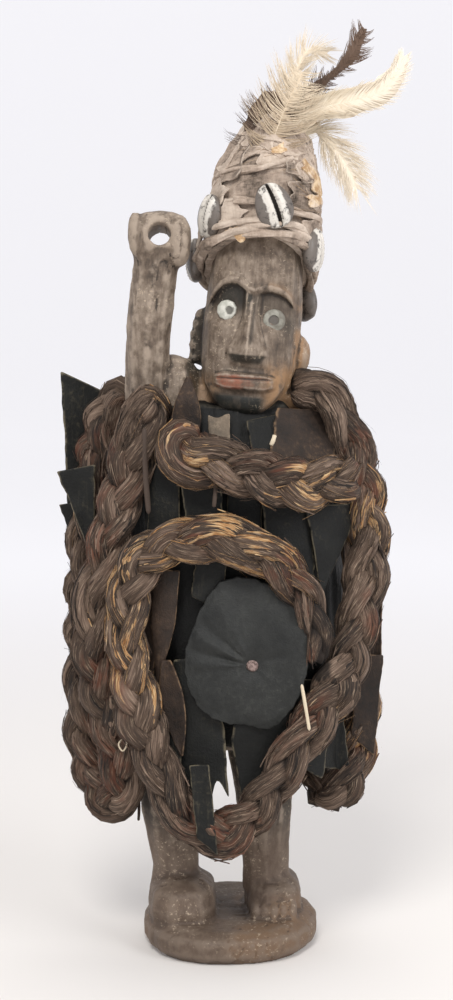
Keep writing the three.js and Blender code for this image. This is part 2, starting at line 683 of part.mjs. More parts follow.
// Belly pouch: a crowned pad, dimpled where its nail draws it in. Its edge is cut by hand: the
// reach is given as a share, anticlockwise from +X as seen from the front.
const POUCH_OUTLINE = new THREE.CatmullRomCurve3(
  [1, 1.03, 1, 0.97, 1, 1.02, 0.94, 0.9, 0.97, 1.02, 1.03, 0.98, 0.94, 1.08, 1.04, 1.02].map(
    (share, i) => new THREE.Vector3(share, i, 0)
  ),
  true
);
const pouchPlace = () => overBundle(POUCH_X, POUCH_HEIGHT, POUCH_LIFT);
const NAIL_OFFSET = new THREE.Vector3(3.2, 0, -5.6);

function pouch() {
  const half = POUCH_CROWN / 2;
  const profile = [
    [0, -half * 0.7],
    [0.8, -half * 0.8],
    [1, -POUCH_RIM / 2],
    [1, POUCH_RIM / 2],
    [0.78, half * 0.9],
    [0.35, half],
    [0, half * 0.6],
  ].map(([x, y]) => new THREE.Vector2(x, y));
  const pad = new THREE.LatheGeometry(profile, 16).rotateX(Math.PI);
  warp(pad, (v) => {
    const share = Math.atan2(v.z, v.x) / (2 * Math.PI);
    const reach = POUCH_OUTLINE.getPoint((share + 1) % 1).x;
    const inwards = 1 - Math.hypot(v.x, v.z);
    v.x = v.x * POUCH_HALF_WIDTH * reach + NAIL_OFFSET.x * inwards;
    v.z = v.z * POUCH_HALF_HEIGHT * reach + NAIL_OFFSET.z * inwards;
  });
  const place = pouchPlace();
  return pad.translate(place.x, place.y, place.z);
}

function nail() {
  const shank = NAIL_SHANK_RADIUS;
  const profile = [
    [0, -NAIL_LENGTH],
    [shank, -NAIL_LENGTH + 4],
    [shank, 0],
    [NAIL_HEAD_RADIUS, 0],
    [NAIL_HEAD_RADIUS * 0.8, NAIL_HEAD_HEIGHT * 0.7],
    [0, NAIL_HEAD_HEIGHT],
  ].map(([x, y]) => new THREE.Vector2(x, y));
  const made = new THREE.LatheGeometry(profile, 8).rotateX(Math.PI);
  const place = pouchPlace().add(NAIL_OFFSET);
  const seat = place.y - POUCH_CROWN * 0.3 - SEAT_GAP;
  return made.translate(place.x, seat, place.z);
}

// Ropes: points chosen by hand along each plait's middle, and its greatest width and depth.
const ROPES = {
  rope_belly: {
    points: [
      [30, -10, 284], [42, -10, 283], [52, -8, 274], [59, -7, 259], [65, -10, 241], [68, -14, 222],
      [69, -18, 204], [66, -24, 184], [62, -30, 165], [56, -36, 147], [46, -42, 130],
      [33, -47, 112], [22, -49, 94], [10, -48, 77], [-4, -46, 68], [-18, -46, 72],
      [-28, -46, 86], [-35, -47, 102], [-41, -48, 120], [-46, -48, 140], [-49, -47, 159],
      [-50, -46, 178], [-47, -47, 194], [-39, -49, 206], [-26, -51, 212], [-12, -53, 214],
      [5, -54, 211], [18, -53, 205], [30, -51, 194], [38, -48, 181], [42, -46, 166], [43, -45, 152],
    ],
    width: 20.5,
    depth: 14.5,
  },
  rope_chest: {
    points: [
      [-17, -32, 262], [-21, -42, 257], [-16, -49, 251], [-7, -52, 250], [5, -53, 247],
      [18, -54, 243], [33, -52, 240], [46, -47, 240], [55, -40, 242], [59, -32, 244],
    ],
    width: 22,
    depth: 15,
  },
  rope_left: {
    points: [
      [-44, 16, 268], [-50, 12, 277], [-57, 9, 277], [-63, 8, 268], [-67, 9, 252], [-71, 11, 231],
      [-74, 12, 211], [-75, 12, 188], [-75, 12, 164], [-76, 12, 141], [-76, 10, 118], [-74, 5, 98],
      [-68, -3, 83], [-60, -11, 74], [-53, -18, 82], [-54, -23, 98], [-58, -27, 119],
      [-64, -30, 141], [-67, -31, 161], [-66, -31, 181], [-61, -31, 201], [-56, -31, 220],
      [-50, -30, 240], [-46, -30, 256], [-42, -31, 270], [-38, -31, 280],
    ],
    width: 21,
    depth: 15,
  },
  rope_back: {
    points: [
      [50, 22, 268], [57, 25, 250], [61, 27, 226], [62, 27, 200], [62, 25, 174], [65, 20, 148],
      [67, 12, 122], [65, 4, 98], [58, -3, 80], [50, 2, 74], [44, 16, 86], [40, 33, 110],
      [34, 46, 136], [24, 52, 160], [10, 54, 182], [-8, 54, 200], [-26, 52, 218], [-40, 45, 238],
      [-46, 34, 256], [-42, 24, 268],
    ],
    width: 20,
    depth: 15,
  },
};

// Reach of a three-strand plait's outline in one direction of its section. phase is the way
// along the plait, as an angle: the strands weave from side to side and over each other.
function plaitReach(phase, angle, width, depth) {
  const strand = Math.min(width, depth * 1.25) * 0.26;
  const swing = width / 2 - strand;
  const weave = depth / 2 - strand;
  const ray = new THREE.Vector2(Math.cos(angle), Math.sin(angle));
  let reach = 0;
  for (let k = 0; k < 3; k++) {
    const turn = phase + (k * 2 * Math.PI) / 3;
    const middle = new THREE.Vector2(swing * Math.sin(turn), weave * Math.sin(2 * turn));
    const along = middle.dot(ray);
    const off = strand ** 2 - (middle.lengthSq() - along ** 2);
    if (off > 0) reach = Math.max(reach, along + Math.sqrt(off));
  }
  return Math.max(reach, strand * 0.9);
}

function plait({ points, width, depth }) {
  const line = new THREE.CatmullRomCurve3(points.map((p) => new THREE.Vector3(...p)), false, 'centripetal');
  const length = line.getLength();
  const steps = Math.round(length / PLAIT_STEP);
  const tube = new THREE.CylinderGeometry(1, 1, 1, PLAIT_SIDES, steps).rotateX(Math.PI / 2);
  return warp(tube, (v) => {
    const t = v.z + 0.5;
    const reach = Math.hypot(v.x, v.y);
    const angle = Math.atan2(v.y, v.x);
    const point = line.getPointAt(t);
    const tangent = line.getTangentAt(t);
    const outward = new THREE.Vector3(point.x * 0.35, point.y - PLAIT_FACING, 0).normalize();
    const across = new THREE.Vector3().crossVectors(tangent, outward).normalize();
    const normal = new THREE.Vector3().crossVectors(across, tangent).normalize();
    const ends = Math.min(1, 0.55 + Math.min(t, 1 - t) * length * 0.06);
    const size = reach * ends * plaitReach((t * length * 2 * Math.PI) / PLAIT_PITCH, angle, width, depth);
    const offset = across.multiplyScalar(size * Math.cos(angle));
    offset.addScaledVector(normal, size * Math.sin(angle));
    v.copy(point).add(offset);
  });
}

const materials = {
  wood: new THREE.MeshStandardMaterial({ color: 0x4f443a, roughness: 0.8 }),
  inlay: new THREE.MeshStandardMaterial({ color: 0xc4c2b6, roughness: 0.5 }),
  bark: new THREE.MeshStandardMaterial({ color: 0x776a5e, roughness: 0.9 }),
  shell: new THREE.MeshStandardMaterial({ color: 0xbdb6aa, roughness: 0.45 }),
  hide: new THREE.MeshStandardMaterial({ color: 0x2a2c28, roughness: 0.7 }),
  pouch: new THREE.MeshStandardMaterial({ color: 0x3b3d3c, roughness: 0.65 }),
  fibre: new THREE.MeshStandardMaterial({ color: 0x5c4535, roughness: 0.95 }),
  iron: new THREE.MeshStandardMaterial({ color: 0x7a6a66, roughness: 0.6, metalness: 0.5 }),
  white: new THREE.MeshStandardMaterial({ color: 0xe9e0cf, roughness: 0.9 }),
  dark: new THREE.MeshStandardMaterial({ color: 0x5d4c40, roughness: 0.9 }),
};

const group = new THREE.Group();
const cutters = [];

// Adds a piece, cut to clear every piece that was placed before it.
function place(name, body, material, neighbours = cutters) {
  const piece = cutBy(body, neighbours);
  const mesh = new THREE.Mesh(toGeometry(piece), material);
  mesh.name = name;
  group.add(mesh);
  cutters.push(asCutter(grown(piece, SEAT_GAP)), asCutter(piece));
  return piece;
}

const eyeSolids = eyeCentres.map((centre) => solid(eye(centre)));
const sockets = eyeSolids.map((body) => asCutter(grown(body, SEAT_GAP)));
place('figure', carvedFigure(), materials.wood, sockets);
place('eye_left', eyeSolids[0], materials.inlay, []);
place('eye_right', eyeSolids[1], materials.inlay, []);
place('nail', solid(nail()), materials.iron);
place('pouch', solid(pouch()), materials.pouch);
for (const [name, rope] of Object.entries(ROPES)) place(name, solid(plait(rope)), materials.fibre);
place('bundle', solid(bundle()), materials.hide);
place('cap', solid(capBody()), materials.bark);
for (const [name, spot] of Object.entries(COWRIES)) place(`cowrie_${name}`, solid(cowrie(spot)), materials.shell);
for (const [name, shape] of Object.entries(FEATHERS)) {
  place(name, solid(feather(shape)), name.includes('white') ? materials.white : materials.dark);
}
for (const [name, shape] of Object.entries(LYING_BLADES)) place(name, solid(lyingBlade(shape)), materials.hide);
for (const [name, shape] of Object.entries(STANDING_BLADES)) {
  place(name, solid(standingBlade(shape)), materials.hide);
}
for (const [name, shape] of Object.entries(backBlades())) place(name, solid(lyingBlade(shape)), materials.hide);

export default group;
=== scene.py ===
"""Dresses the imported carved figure: wood, inlaid eyes, cap, shells, feathers, hide, pouch and plaits."""

from __future__ import annotations

import logging
import math
import random
from dataclasses import dataclass, field
from enum import Enum
from typing import Any, Callable, Sequence

import bpy
import numpy as np
from bpy.types import Material, Node, NodeSocket, Object
from mathutils import Matrix, Vector

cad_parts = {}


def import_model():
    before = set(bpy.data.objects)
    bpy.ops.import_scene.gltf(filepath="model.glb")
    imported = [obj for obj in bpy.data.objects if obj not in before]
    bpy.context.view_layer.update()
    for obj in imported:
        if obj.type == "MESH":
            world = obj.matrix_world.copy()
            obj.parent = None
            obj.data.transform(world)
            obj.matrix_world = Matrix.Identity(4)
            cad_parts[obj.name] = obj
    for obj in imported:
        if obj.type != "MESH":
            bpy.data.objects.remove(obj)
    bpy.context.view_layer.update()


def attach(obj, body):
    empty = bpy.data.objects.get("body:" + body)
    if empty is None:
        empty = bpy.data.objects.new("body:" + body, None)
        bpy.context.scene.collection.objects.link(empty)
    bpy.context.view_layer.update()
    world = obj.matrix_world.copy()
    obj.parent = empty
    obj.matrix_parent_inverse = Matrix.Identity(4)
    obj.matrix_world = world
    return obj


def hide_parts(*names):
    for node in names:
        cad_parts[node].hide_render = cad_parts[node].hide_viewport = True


LOG = logging.getLogger("carved_figure")
MM = 0.001
FRAME_HEIGHT_PX = 1000
HAIR_SIDES = 3
FIBRE_PLACES = 11
HEAD_FROM = 262 * MM

Array = np.ndarray
Place = tuple[float, float, float]
Colour = tuple[float, float, float, float]
Rule = Callable[[Array, Array], Array]
Hair = tuple[Array, Array, float, float, float]
Frame = tuple[Array, Array, Array]


def srgb(red: int, green: int, blue: int) -> Colour:
    """Turns a colour as read off a screen into the linear one that a shader takes.

    Args:
        red: Red from 0 to 255.
        green: Green from 0 to 255.
        blue: Blue from 0 to 255.

    Returns:
        The linear colour, opaque.
    """
    linear = [((c / 255 + 0.055) / 1.055) ** 2.4 if c > 10 else c / 255 / 12.92 for c in (red, green, blue)]
    return (linear[0], linear[1], linear[2], 1.0)


def smooth_step(value: Array) -> Array:
    """Eases a value from 0 to 1 and holds it there outside that range."""
    eased = np.clip(value, 0, 1)
    return eased * eased * (3 - 2 * eased)


def hump(value: Array, centre: float | Array, spread: float) -> Array:
    """A bell of height 1 round a centre."""
    return np.exp(-(((value - centre) / spread) ** 2))


def over(value: Array, start: float | Array, width: float) -> Array:
    """Eases from 0 at a start to 1 a width further on."""
    return smooth_step((value - start) / width)


def under(value: Array, end: float | Array, width: float) -> Array:
    """Eases from 1 a width before an end to 0 at the end."""
    return smooth_step((end - value) / width)


def columns(*values: float | Array) -> Array:
    """Sets numbers or arrays side by side, one row for each place."""
    return np.stack(np.broadcast_arrays(*values), axis=1)


def round_about(frame: Frame, turn: Array, half: Array) -> Array:
    """Places round centres: a turn in the two cross directions, with a half width for each."""
    centre, side, up = frame
    return centre + side * (np.cos(turn) * half[:, 0])[:, None] + up * (np.sin(turn) * half[:, 1])[:, None]


def signed_power(value: Array, power: float) -> Array:
    """Raises the size of a value to a power and keeps its sign."""
    return np.sign(value) * np.abs(value) ** power


def lumps(points: Array, size: float, seed: int = 0) -> Array:
    """Smooth noise that is the same on every run.

    Args:
        points: Places, one row each.
        size: Width of one lump, in the units of the points.
        seed: Which noise.

    Returns:
        One value from -1 to 1 for each point.
    """
    cell = points / size + seed * 17.13
    base = np.floor(cell).astype(np.int64)
    part = cell - base
    part = part * part * (3 - 2 * part)
    total = np.zeros(len(points))
    for corner in range(8):
        step = np.array([(corner >> axis) & 1 for axis in range(3)])
        at = base + step
        key = (at[:, 0] * 374761393 + at[:, 1] * 668265263 + at[:, 2] * 1274126177) & 0xFFFFFFFF
        key = ((key ^ (key >> 13)) * 1274126177) & 0xFFFFFFFF
        value = ((key ^ (key >> 16)) & 0xFFFF) / 32767.5 - 1
        weight = np.prod(np.where(step == 1, part, 1 - part), axis=1)
        total += weight * value
    return total


def unit(rows: Array) -> Array:
    """Scales each row to length 1."""
    return rows / np.maximum(np.linalg.norm(rows, axis=1, keepdims=True), 1e-12)


# Mesh helpers


def deselect() -> None:
    """Leaves object mode on and nothing selected."""
    if bpy.context.object is not None and bpy.context.object.mode != "OBJECT":
        bpy.ops.object.mode_set(mode="OBJECT")
    bpy.ops.object.select_all(action="DESELECT")


def activate(piece: Object) -> Object:
    """Selects one piece alone and makes it active."""
    deselect()
    piece.select_set(True)
    bpy.context.view_layer.objects.active = piece
    return piece


def coordinates(piece: Object) -> Array:
    """Vertex places of a piece, one row each."""
    rows = np.empty(len(piece.data.vertices) * 3, np.float32)
    piece.data.vertices.foreach_get("co", rows)
    return rows.reshape(-1, 3).astype(np.float64)


def normals(piece: Object) -> Array:
    """Vertex normals of a piece, one row each."""
    rows = np.empty(len(piece.data.vertices) * 3, np.float32)
    piece.data.vertices.foreach_get("normal", rows)
    return rows.reshape(-1, 3).astype(np.float64)


def move_to(piece: Object, points: Array) -> None:
    """Puts the vertices of a piece at new places."""
    piece.data.vertices.foreach_set("co", points.astype(np.float32).ravel())
    piece.data.update()


def settle_place(piece: Object) -> Object:
    """Moves a piece's place, turn and scale into its mesh."""
    piece.data.transform(piece.matrix_basis)
    piece.matrix_basis = Matrix.Identity(4)
    return piece


def modify(piece: Object, kind: str, **settings: Any) -> Object:
    """Adds a modifier with its settings and applies it.

    Args:
        piece: The piece to change.
        kind: The modifier's type.
        **settings: The modifier's properties.

    Returns:
        The same piece.
    """
    activate(piece)
    modifier = piece.modifiers.new(kind.title(), kind)
    for key, value in settings.items():
        setattr(modifier, key, value)
    bpy.ops.object.modifier_apply(modifier=modifier.name)
    return piece


def join(pieces: Sequence[Object], name: str) -> Object:
    """Joins pieces into one object.

    Args:
        pieces: The pieces, of which the first is kept.
        name: The joined piece's name.

    Returns:
        The joined piece.
    """
    activate(pieces[0])
    for piece in pieces:
        piece.select_set(True)
    if len(pieces) > 1:
        bpy.ops.object.join()
    pieces[0].name = name
    return pieces[0]


def face_outwards(piece: Object, gap: float = 0) -> Object:
    """Points every face outwards, and first merges vertices within a gap, if one is given.

    Args:
        piece: The piece to change.
        gap: Largest distance that is merged, in metres, or 0 for none.

    Returns:
        The same piece.
    """
    activate(piece)
    bpy.ops.object.mode_set(mode="EDIT")
    bpy.ops.mesh.select_all(action="SELECT")
    if gap:
        bpy.ops.mesh.remove_doubles(threshold=gap)
    bpy.ops.mesh.normals_make_consistent(inside=False)
    bpy.ops.object.mode_set(mode="OBJECT")
    return piece


def close_seams(piece: Object, gap: float = 0.002 * MM) -> Object:
    """Merges vertices that lie on each other and points every face outwards."""
    return face_outwards(piece, gap)


def ball(place: Sequence[float], half: Sequence[float], segments: int = 14, rings: int = 8) -> Object:
    """An egg at a place, with three half sizes.

    Args:
        place: Its centre.
        half: Its half sizes.
        segments: Faces round.
        rings: Faces from pole to pole.

    Returns:
        The egg.
    """
    deselect()
    bpy.ops.mesh.primitive_uv_sphere_add(
        segments=segments, ring_count=rings, radius=1.0, location=place, scale=half
    )
    return settle_place(bpy.context.object)


def choose_faces(piece: Object, wanted: Callable[[Any], bool]) -> None:
    """Selects the faces that a test picks and leaves edit mode on.

    Args:
        piece: The piece to change.
        wanted: Tells whether a face is picked.
    """
    activate(piece)
    bpy.ops.object.mode_set(mode="EDIT")
    bpy.ops.mesh.select_all(action="DESELECT")
    bpy.ops.object.mode_set(mode="OBJECT")
    for face in piece.data.polygons:
        face.select = wanted(face)
    bpy.ops.object.mode_set(mode="EDIT")


def warped_grid(name: str, across: int, along: int, rule: Rule) -> Object:
    """A grid whose vertices are sent to new places by a rule.

    Args:
        name: The piece's name.
        across: Number of squares in the first direction.
        along: Number of squares in the second direction.
        rule: Takes the shares in both directions, from 0 to 1, and gives the places.

    Returns:
        The new piece, with the grid's UV map.
    """
    deselect()
    bpy.ops.mesh.primitive_grid_add(x_subdivisions=across, y_subdivisions=along, size=2.0)
    piece = bpy.context.object
    piece.name = name
    flat = coordinates(piece)
    move_to(piece, rule((flat[:, 0] + 1) / 2, (flat[:, 1] + 1) / 2))
    return piece


def mesh_piece(name: str, points: Array, faces: list[list[int]]) -> Object:
    """A piece from vertex places and faces, for hair-fine strips that no primitive suits.

    Args:
        name: The piece's name.
        points: Vertex places, in metres.
        faces: Vertex numbers of each face.

    Returns:
        The piece.
    """
    mesh = bpy.data.meshes.new(name)
    mesh.from_pydata(points.tolist(), [], faces)
    piece = bpy.data.objects.new(name, mesh)
    bpy.context.scene.collection.objects.link(piece)
    return piece


def mark(piece: Object, name: str, values: Array) -> None:
    """Stores one number for each vertex under a name that materials read."""
    attribute = piece.data.attributes.get(name) or piece.data.attributes.new(name, "FLOAT", "POINT")
    attribute.data.foreach_set("value", values.astype(np.float32))


def corner_vertices(piece: Object) -> Array:
    """Number of the vertex at each corner of each face."""
    loops = np.empty(len(piece.data.loops), np.int32)
    piece.data.loops.foreach_get("vertex_index", loops)
    return loops


def softened(piece: Object, rounds: int) -> Array:
    """Vertex places after each has been drawn towards its neighbours a number of times.

    Args:
        piece: The piece to read.
        rounds: How many times.

    Returns:
        One place for each vertex.
    """
    points = coordinates(piece)
    edges = np.empty(len(piece.data.edges) * 2, np.int32)
    piece.data.edges.foreach_get("vertices", edges)
    first, second = edges.reshape(-1, 2).T
    count = np.bincount(edges, minlength=len(points)).astype(float)
    count[count == 0] = 1
    soft = points.copy()
    for _ in range(rounds):
        total = np.empty_like(soft)
        for axis in range(3):
            total[:, axis] = np.bincount(first, soft[second, axis], len(points))
            total[:, axis] += np.bincount(second, soft[first, axis], len(points))
        soft = 0.5 * soft + 0.5 * total / count[:, None]
    return soft


def hollows(piece: Object, rounds: int = 6) -> Array:
    """How far each vertex lies under (positive) or over (negative) its surroundings.

    Args:
        piece: The piece to measure.
        rounds: Number of smoothing rounds, which sets how wide a hollow counts.

    Returns:
        One value for each vertex, in metres.
    """
    return np.einsum("ij,ij->i", softened(piece, rounds) - coordinates(piece), normals(piece))


def present(
    piece: Object, finish: Material, nodes: Sequence[str] = (), angle: float = 50
) -> Object:
    """Gives a finished piece its material, its shading and its place in the frame.

    Args:
        piece: The finished piece.
        finish: Its material.
        nodes: Solids that the piece stands for.
        angle: Edges sharper than this, in degrees, stay crisp.

    Returns:
        The same piece.
    """
    piece.data.materials.clear()
    piece.data.materials.append(finish)
    activate(piece)
    bpy.ops.object.shade_smooth_by_angle(angle=math.radians(angle))
    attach(piece, "root")
    if nodes:
        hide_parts(*nodes)
    LOG.info("%s: %d faces", piece.name, len(piece.data.polygons))
    return piece


# Shader building


class Signal:
    """A number on a shader socket that Python's operators work on."""

    def __init__(self, sheet: "Shading", socket: NodeSocket) -> None:
        """Wraps a socket of a material's node sheet."""
        self.sheet = sheet
        self.socket = socket

    def _math(self, operation: str, first: Any, second: Any) -> "Signal":
        """Adds one Math node."""
        node = self.sheet.node("ShaderNodeMath", {"operation": operation}, {0: first, 1: second})
        return Signal(self.sheet, node.outputs[0])

    def __add__(self, other: Any) -> "Signal":
        """Sum."""
        return self._math("ADD", self, other)

    __radd__ = __add__

    def __mul__(self, other: Any) -> "Signal":
        """Product."""
        return self._math("MULTIPLY", self, other)

    __rmul__ = __mul__

    def __sub__(self, other: Any) -> "Signal":
        """Difference."""
        return self._math("SUBTRACT", self, other)

    def __rsub__(self, other: Any) -> "Signal":
        """Difference with the signal taken away."""
        return self._math("SUBTRACT", other, self)

    def between(self, low: float, high: float) -> "Signal":
        """Eases from 0 at low to 1 at high."""
        settings = {"interpolation_type": "SMOOTHSTEP"}
        node = self.sheet.node("ShaderNodeMapRange", settings, {0: self, 1: low, 2: high, 3: 0.0, 4: 1.0})
        return Signal(self.sheet, node.outputs[0])


class Shading:
    """The node sheet of one material."""

    def __init__(self, name: str) -> None:
        """Starts an empty sheet with one surface shader."""
        self.material = bpy.data.materials.new(name)
        self.material.use_nodes = True
        self.tree = self.material.node_tree
        self.tree.nodes.clear()
        self.surface = self.node("ShaderNodeBsdfPrincipled", {}, {})
        output = self.node("ShaderNodeOutputMaterial", {}, {})
        self.tree.links.new(self.surface.outputs[0], output.inputs[0])
        self.place = self.node("ShaderNodeTexCoord", {}, {}).outputs["Object"]
        self.flat = self.node("ShaderNodeTexCoord", {}, {}).outputs["UV"]

    def node(self, kind: str, settings: dict[str, Any], sockets: dict[Any, Any]) -> Node:
        """Adds a node, sets it up and feeds its sockets.

        Args:
            kind: The node's type.
            settings: Properties, set first. A ramp's stops are a list under "stops".
            sockets: Values, signals or sockets by input name or number.

        Returns:
            The node.
        """
        made = self.tree.nodes.new(kind)
        for key, value in settings.items():
            if key == "stops":
                self._stops(made, value)
            else:
                setattr(made, key, value)
        self._feed(made, sockets)
        return made

    def _feed(self, node: Node, sockets: dict[Any, Any]) -> None:
        """Links or sets the sockets of a node.

        Args:
            node: The node.
            sockets: Values, signals or sockets by input name or number.
        """
        for key, value in sockets.items():
            if isinstance(value, Signal):
                self.tree.links.new(value.socket, node.inputs[key])
            elif isinstance(value, NodeSocket):
                self.tree.links.new(value, node.inputs[key])
            else:
                node.inputs[key].default_value = value

    @staticmethod
    def _stops(ramp: Node, stops: Sequence[tuple[float, Colour]]) -> None:
        """Sets a colour ramp's stops.

        Args:
            ramp: The ramp node.
            stops: Position and colour of each stop.
        """
        elements = ramp.color_ramp.elements
        while len(elements) < len(stops):
            elements.new(1.0)
        for element, (position, colour) in zip(elements, stops):
            element.position = position
            element.color = colour

    def attribute(self, name: str) -> Signal:
        """Reads a number that the mesh carries."""
        return Signal(self, self.node("ShaderNodeAttribute", {"attribute_name": name}, {}).outputs["Fac"])

    def stretched(
        self, source: NodeSocket, scale: Sequence[float], shift: Sequence[float] = (0, 0, 0)
    ) -> NodeSocket:
        """Scales and shifts a vector."""
        sockets = {"Vector": source, "Scale": tuple(scale), "Location": tuple(shift)}
        return self.node("ShaderNodeMapping", {}, sockets).outputs[0]

    def grain(
        self, scale: float, detail: float = 4, rough: float = 0.55, source: NodeSocket | None = None
    ) -> Signal:
        """Noise from 0 to 1 in object space, or over another vector."""
        sockets = {"Vector": source or self.place, "Scale": scale, "Detail": detail, "Roughness": rough}
        return Signal(self, self.node("ShaderNodeTexNoise", {}, sockets).outputs[0])

    def cells(self, scale: float) -> Signal:
        """Distance pattern of scattered cells."""
        node = self.node("ShaderNodeTexVoronoi", {}, {"Vector": self.place, "Scale": scale})
        return Signal(self, node.outputs["Distance"])

    def mix(self, share: Any, first: Any, second: Any) -> NodeSocket:
        """Blends two colours."""
        settings = {"data_type": "RGBA", "clamp_factor": True}
        return self.node("ShaderNodeMix", settings, {0: share, 6: first, 7: second}).outputs[2]

    def ramp(self, value: Signal, stops: Sequence[tuple[float, Colour]]) -> NodeSocket:
        """Turns a number into a colour."""
        return self.node("ShaderNodeValToRGB", {"stops": stops}, {0: value}).outputs[0]

    def relief(self, height: Signal, depth: float) -> NodeSocket:
        """A bump of a real depth in metres."""
        sockets = {"Height": height, "Distance": depth, "Strength": 1.0}
        return self.node("ShaderNodeBump", {}, sockets).outputs[0]

    def finish(self, colour: Any, rough: Any, normal: NodeSocket | None = None, **fixed: Any) -> Material:
        """Feeds the surface shader.

        Args:
            colour: Base colour, a value or a socket.
            rough: Roughness, a value or a signal.
            normal: Relief.
            **fixed: Other sockets' fixed values, with underscores for spaces.

        Returns:
            The material.
        """
        sockets: dict[str, Any] = {"Base Color": colour, "Roughness": rough}
        if normal is not None:
            sockets["Normal"] = normal
        sockets.update({key.replace("_", " "): value for key, value in fixed.items()})
        self._feed(self.surface, sockets)
        return self.material


# Finishes


@dataclass(frozen=True)
class CarvedWood:
    """Old handled wood: grey-brown, dusty in the grain, tan where it is rubbed, red on the lips."""

    dark: Colour = srgb(42, 35, 29)
    body: Colour = srgb(98, 84, 71)
    pale: Colour = srgb(158, 143, 127)
    tan: Colour = srgb(150, 116, 82)
    dust: Colour = srgb(196, 178, 154)
    # Brown of the painted shade towards the bottom of the body.
    low_shade: Colour = srgb(86, 70, 58)
    red: Colour = srgb(146, 82, 58)
    # Near black of the painted shade under the face's brow, nose and chin and on the legs.
    painted_shade: Colour = srgb(29, 29, 24)

    def build(self) -> Material:
        """Makes the material, which reads the marks hollow, warm, red and low and the near-black mark. The
        near-black mark and low are painted shade, and the hollows are darkened as dirt and painted shade.
        """
        s = Shading("carved wood")
        hollow = s.attribute("hollow")
        along = s.stretched(s.place, (1.0, 1.0, 0.2))
        cloud = s.grain(30, 6, 0.62)
        fibre = s.grain(460, 3, 0.6, along)
        mottle = s.grain(150, 5, 0.68)
        mixed = cloud * 0.42 + fibre * 0.24 + mottle * 0.34
        body = s.ramp(mixed, [(0.34, self.dark), (0.46, self.body), (0.64, self.pale)])
        warm = s.attribute("warm") * (mottle * 0.5 + cloud * 0.5).between(0.36, 0.52)
        body = s.mix(warm * 0.9, body, self.tan)
        # Painted shade: near black where the carving's near-black mark lies.
        body = s.mix(s.attribute("painted_shade") * (mottle * 0.6 + fibre * 0.4).between(0.26, 0.5), body, self.painted_shade)
        paint = s.attribute("red") + (s.grain(170, 6, 0.75) - 0.5) * 1.5
        body = s.mix(paint.between(0.35, 1.05) * 0.85, body, self.red)
        # Darker in the hollows: dirt and painted shade.
        body = s.mix(hollow.between(0.08, 0.6) * 0.85, body, self.dark)
        worn = (0 - hollow).between(0.08, 0.6) * mottle.between(0.3, 0.55)
        body = s.mix(worn * 0.7, body, self.pale)
        # Painted shade: darker brown towards the bottom.
        body = s.mix(s.attribute("low"), body, self.low_shade)
        grit = s.grain(1.0, 3, 0.75, s.stretched(s.place, (520, 520, 700))).between(0.56, 0.68)
        body = s.mix(grit * s.grain(60, 3).between(0.42, 0.62) * 0.55, body, self.dust)
        relief = fibre * 0.45 + s.grain(800, 4, 0.65) * 0.4 + mottle * 0.5
        return s.finish(body, 0.5 + mottle * 0.3, s.relief(relief, 0.5 * MM), Specular_IOR_Level=0.4)


@dataclass(frozen=True)
class EyeInlay:
    """Pale inlay with a darker drilled pupil, read by distance from the eye's centre."""

    name: str
    white: Colour
    ring: Colour
    pupil: Colour
    centre: Place
    pupil_radius: float

    def build(self) -> Material:
        """Makes the material."""
        s = Shading(self.name)
        local = s.stretched(s.place, (1, 0.2, 1), tuple(-c * k for c, k in zip(self.centre, (1, 0.2, 1))))
        length = s.node("ShaderNodeVectorMath", {"operation": "LENGTH"}, {0: local}).outputs["Value"]
        reach = Signal(s, length) + (s.grain(600, 3) - 0.5) * 0.0016
        body = s.mix(s.grain(300, 4).between(0.35, 0.7), self.white, self.ring)
        edge = reach.between(4.4 * MM, 5.6 * MM)
        body = s.mix(edge * 0.6, body, self.ring)
        inner = 1 - reach.between(self.pupil_radius * 0.75, self.pupil_radius * 1.15)
        body = s.mix(inner, body, self.pupil)
        relief = s.grain(700, 4, 0.6)
        return s.finish(body, 0.38 + s.grain(400, 3) * 0.25, s.relief(relief, 0.12 * MM))


@dataclass(frozen=True)
class Hide:
    """Thin dry hide: dark, mottled, scuffed along its length and worn pale at the cut edges."""

    name: str
    dark: Colour
    body: Colour
    worn: Colour
    scuff: float = 0.5
    rough: float = 0.5

    def build(self) -> Material:
        """Makes the material, which reads the mark edge."""
        s = Shading(self.name)
        length = s.stretched(s.place, (1, 1, 0.12))
        cloud = s.grain(48, 6, 0.65)
        fine = s.grain(420, 4, 0.65)
        body = s.ramp(cloud * 0.7 + fine * 0.3, [(0.36, self.dark), (0.62, self.body)])
        streak = s.grain(620, 2, 0.5, length).between(0.54, 0.72) * cloud.between(0.44, 0.66)
        body = s.mix(streak * self.scuff * 0.5, body, self.worn)
        dust = fine.between(0.5, 0.74) * s.grain(24, 3).between(0.44, 0.68)
        body = s.mix(dust * self.scuff, body, self.worn)
        edge = s.attribute("edge").between(0.7, 1.0) * s.grain(240, 3).between(0.36, 0.6)
        body = s.mix(edge * 0.85, body, self.worn)
        relief = s.cells(1300) * 0.3 + fine * 0.6 + s.grain(900, 2, 0.5, length) * 0.25 + cloud * 1.2
        rough = self.rough + fine * 0.3
        return s.finish(body, rough, s.relief(relief, 0.5 * MM), Specular_IOR_Level=0.3)


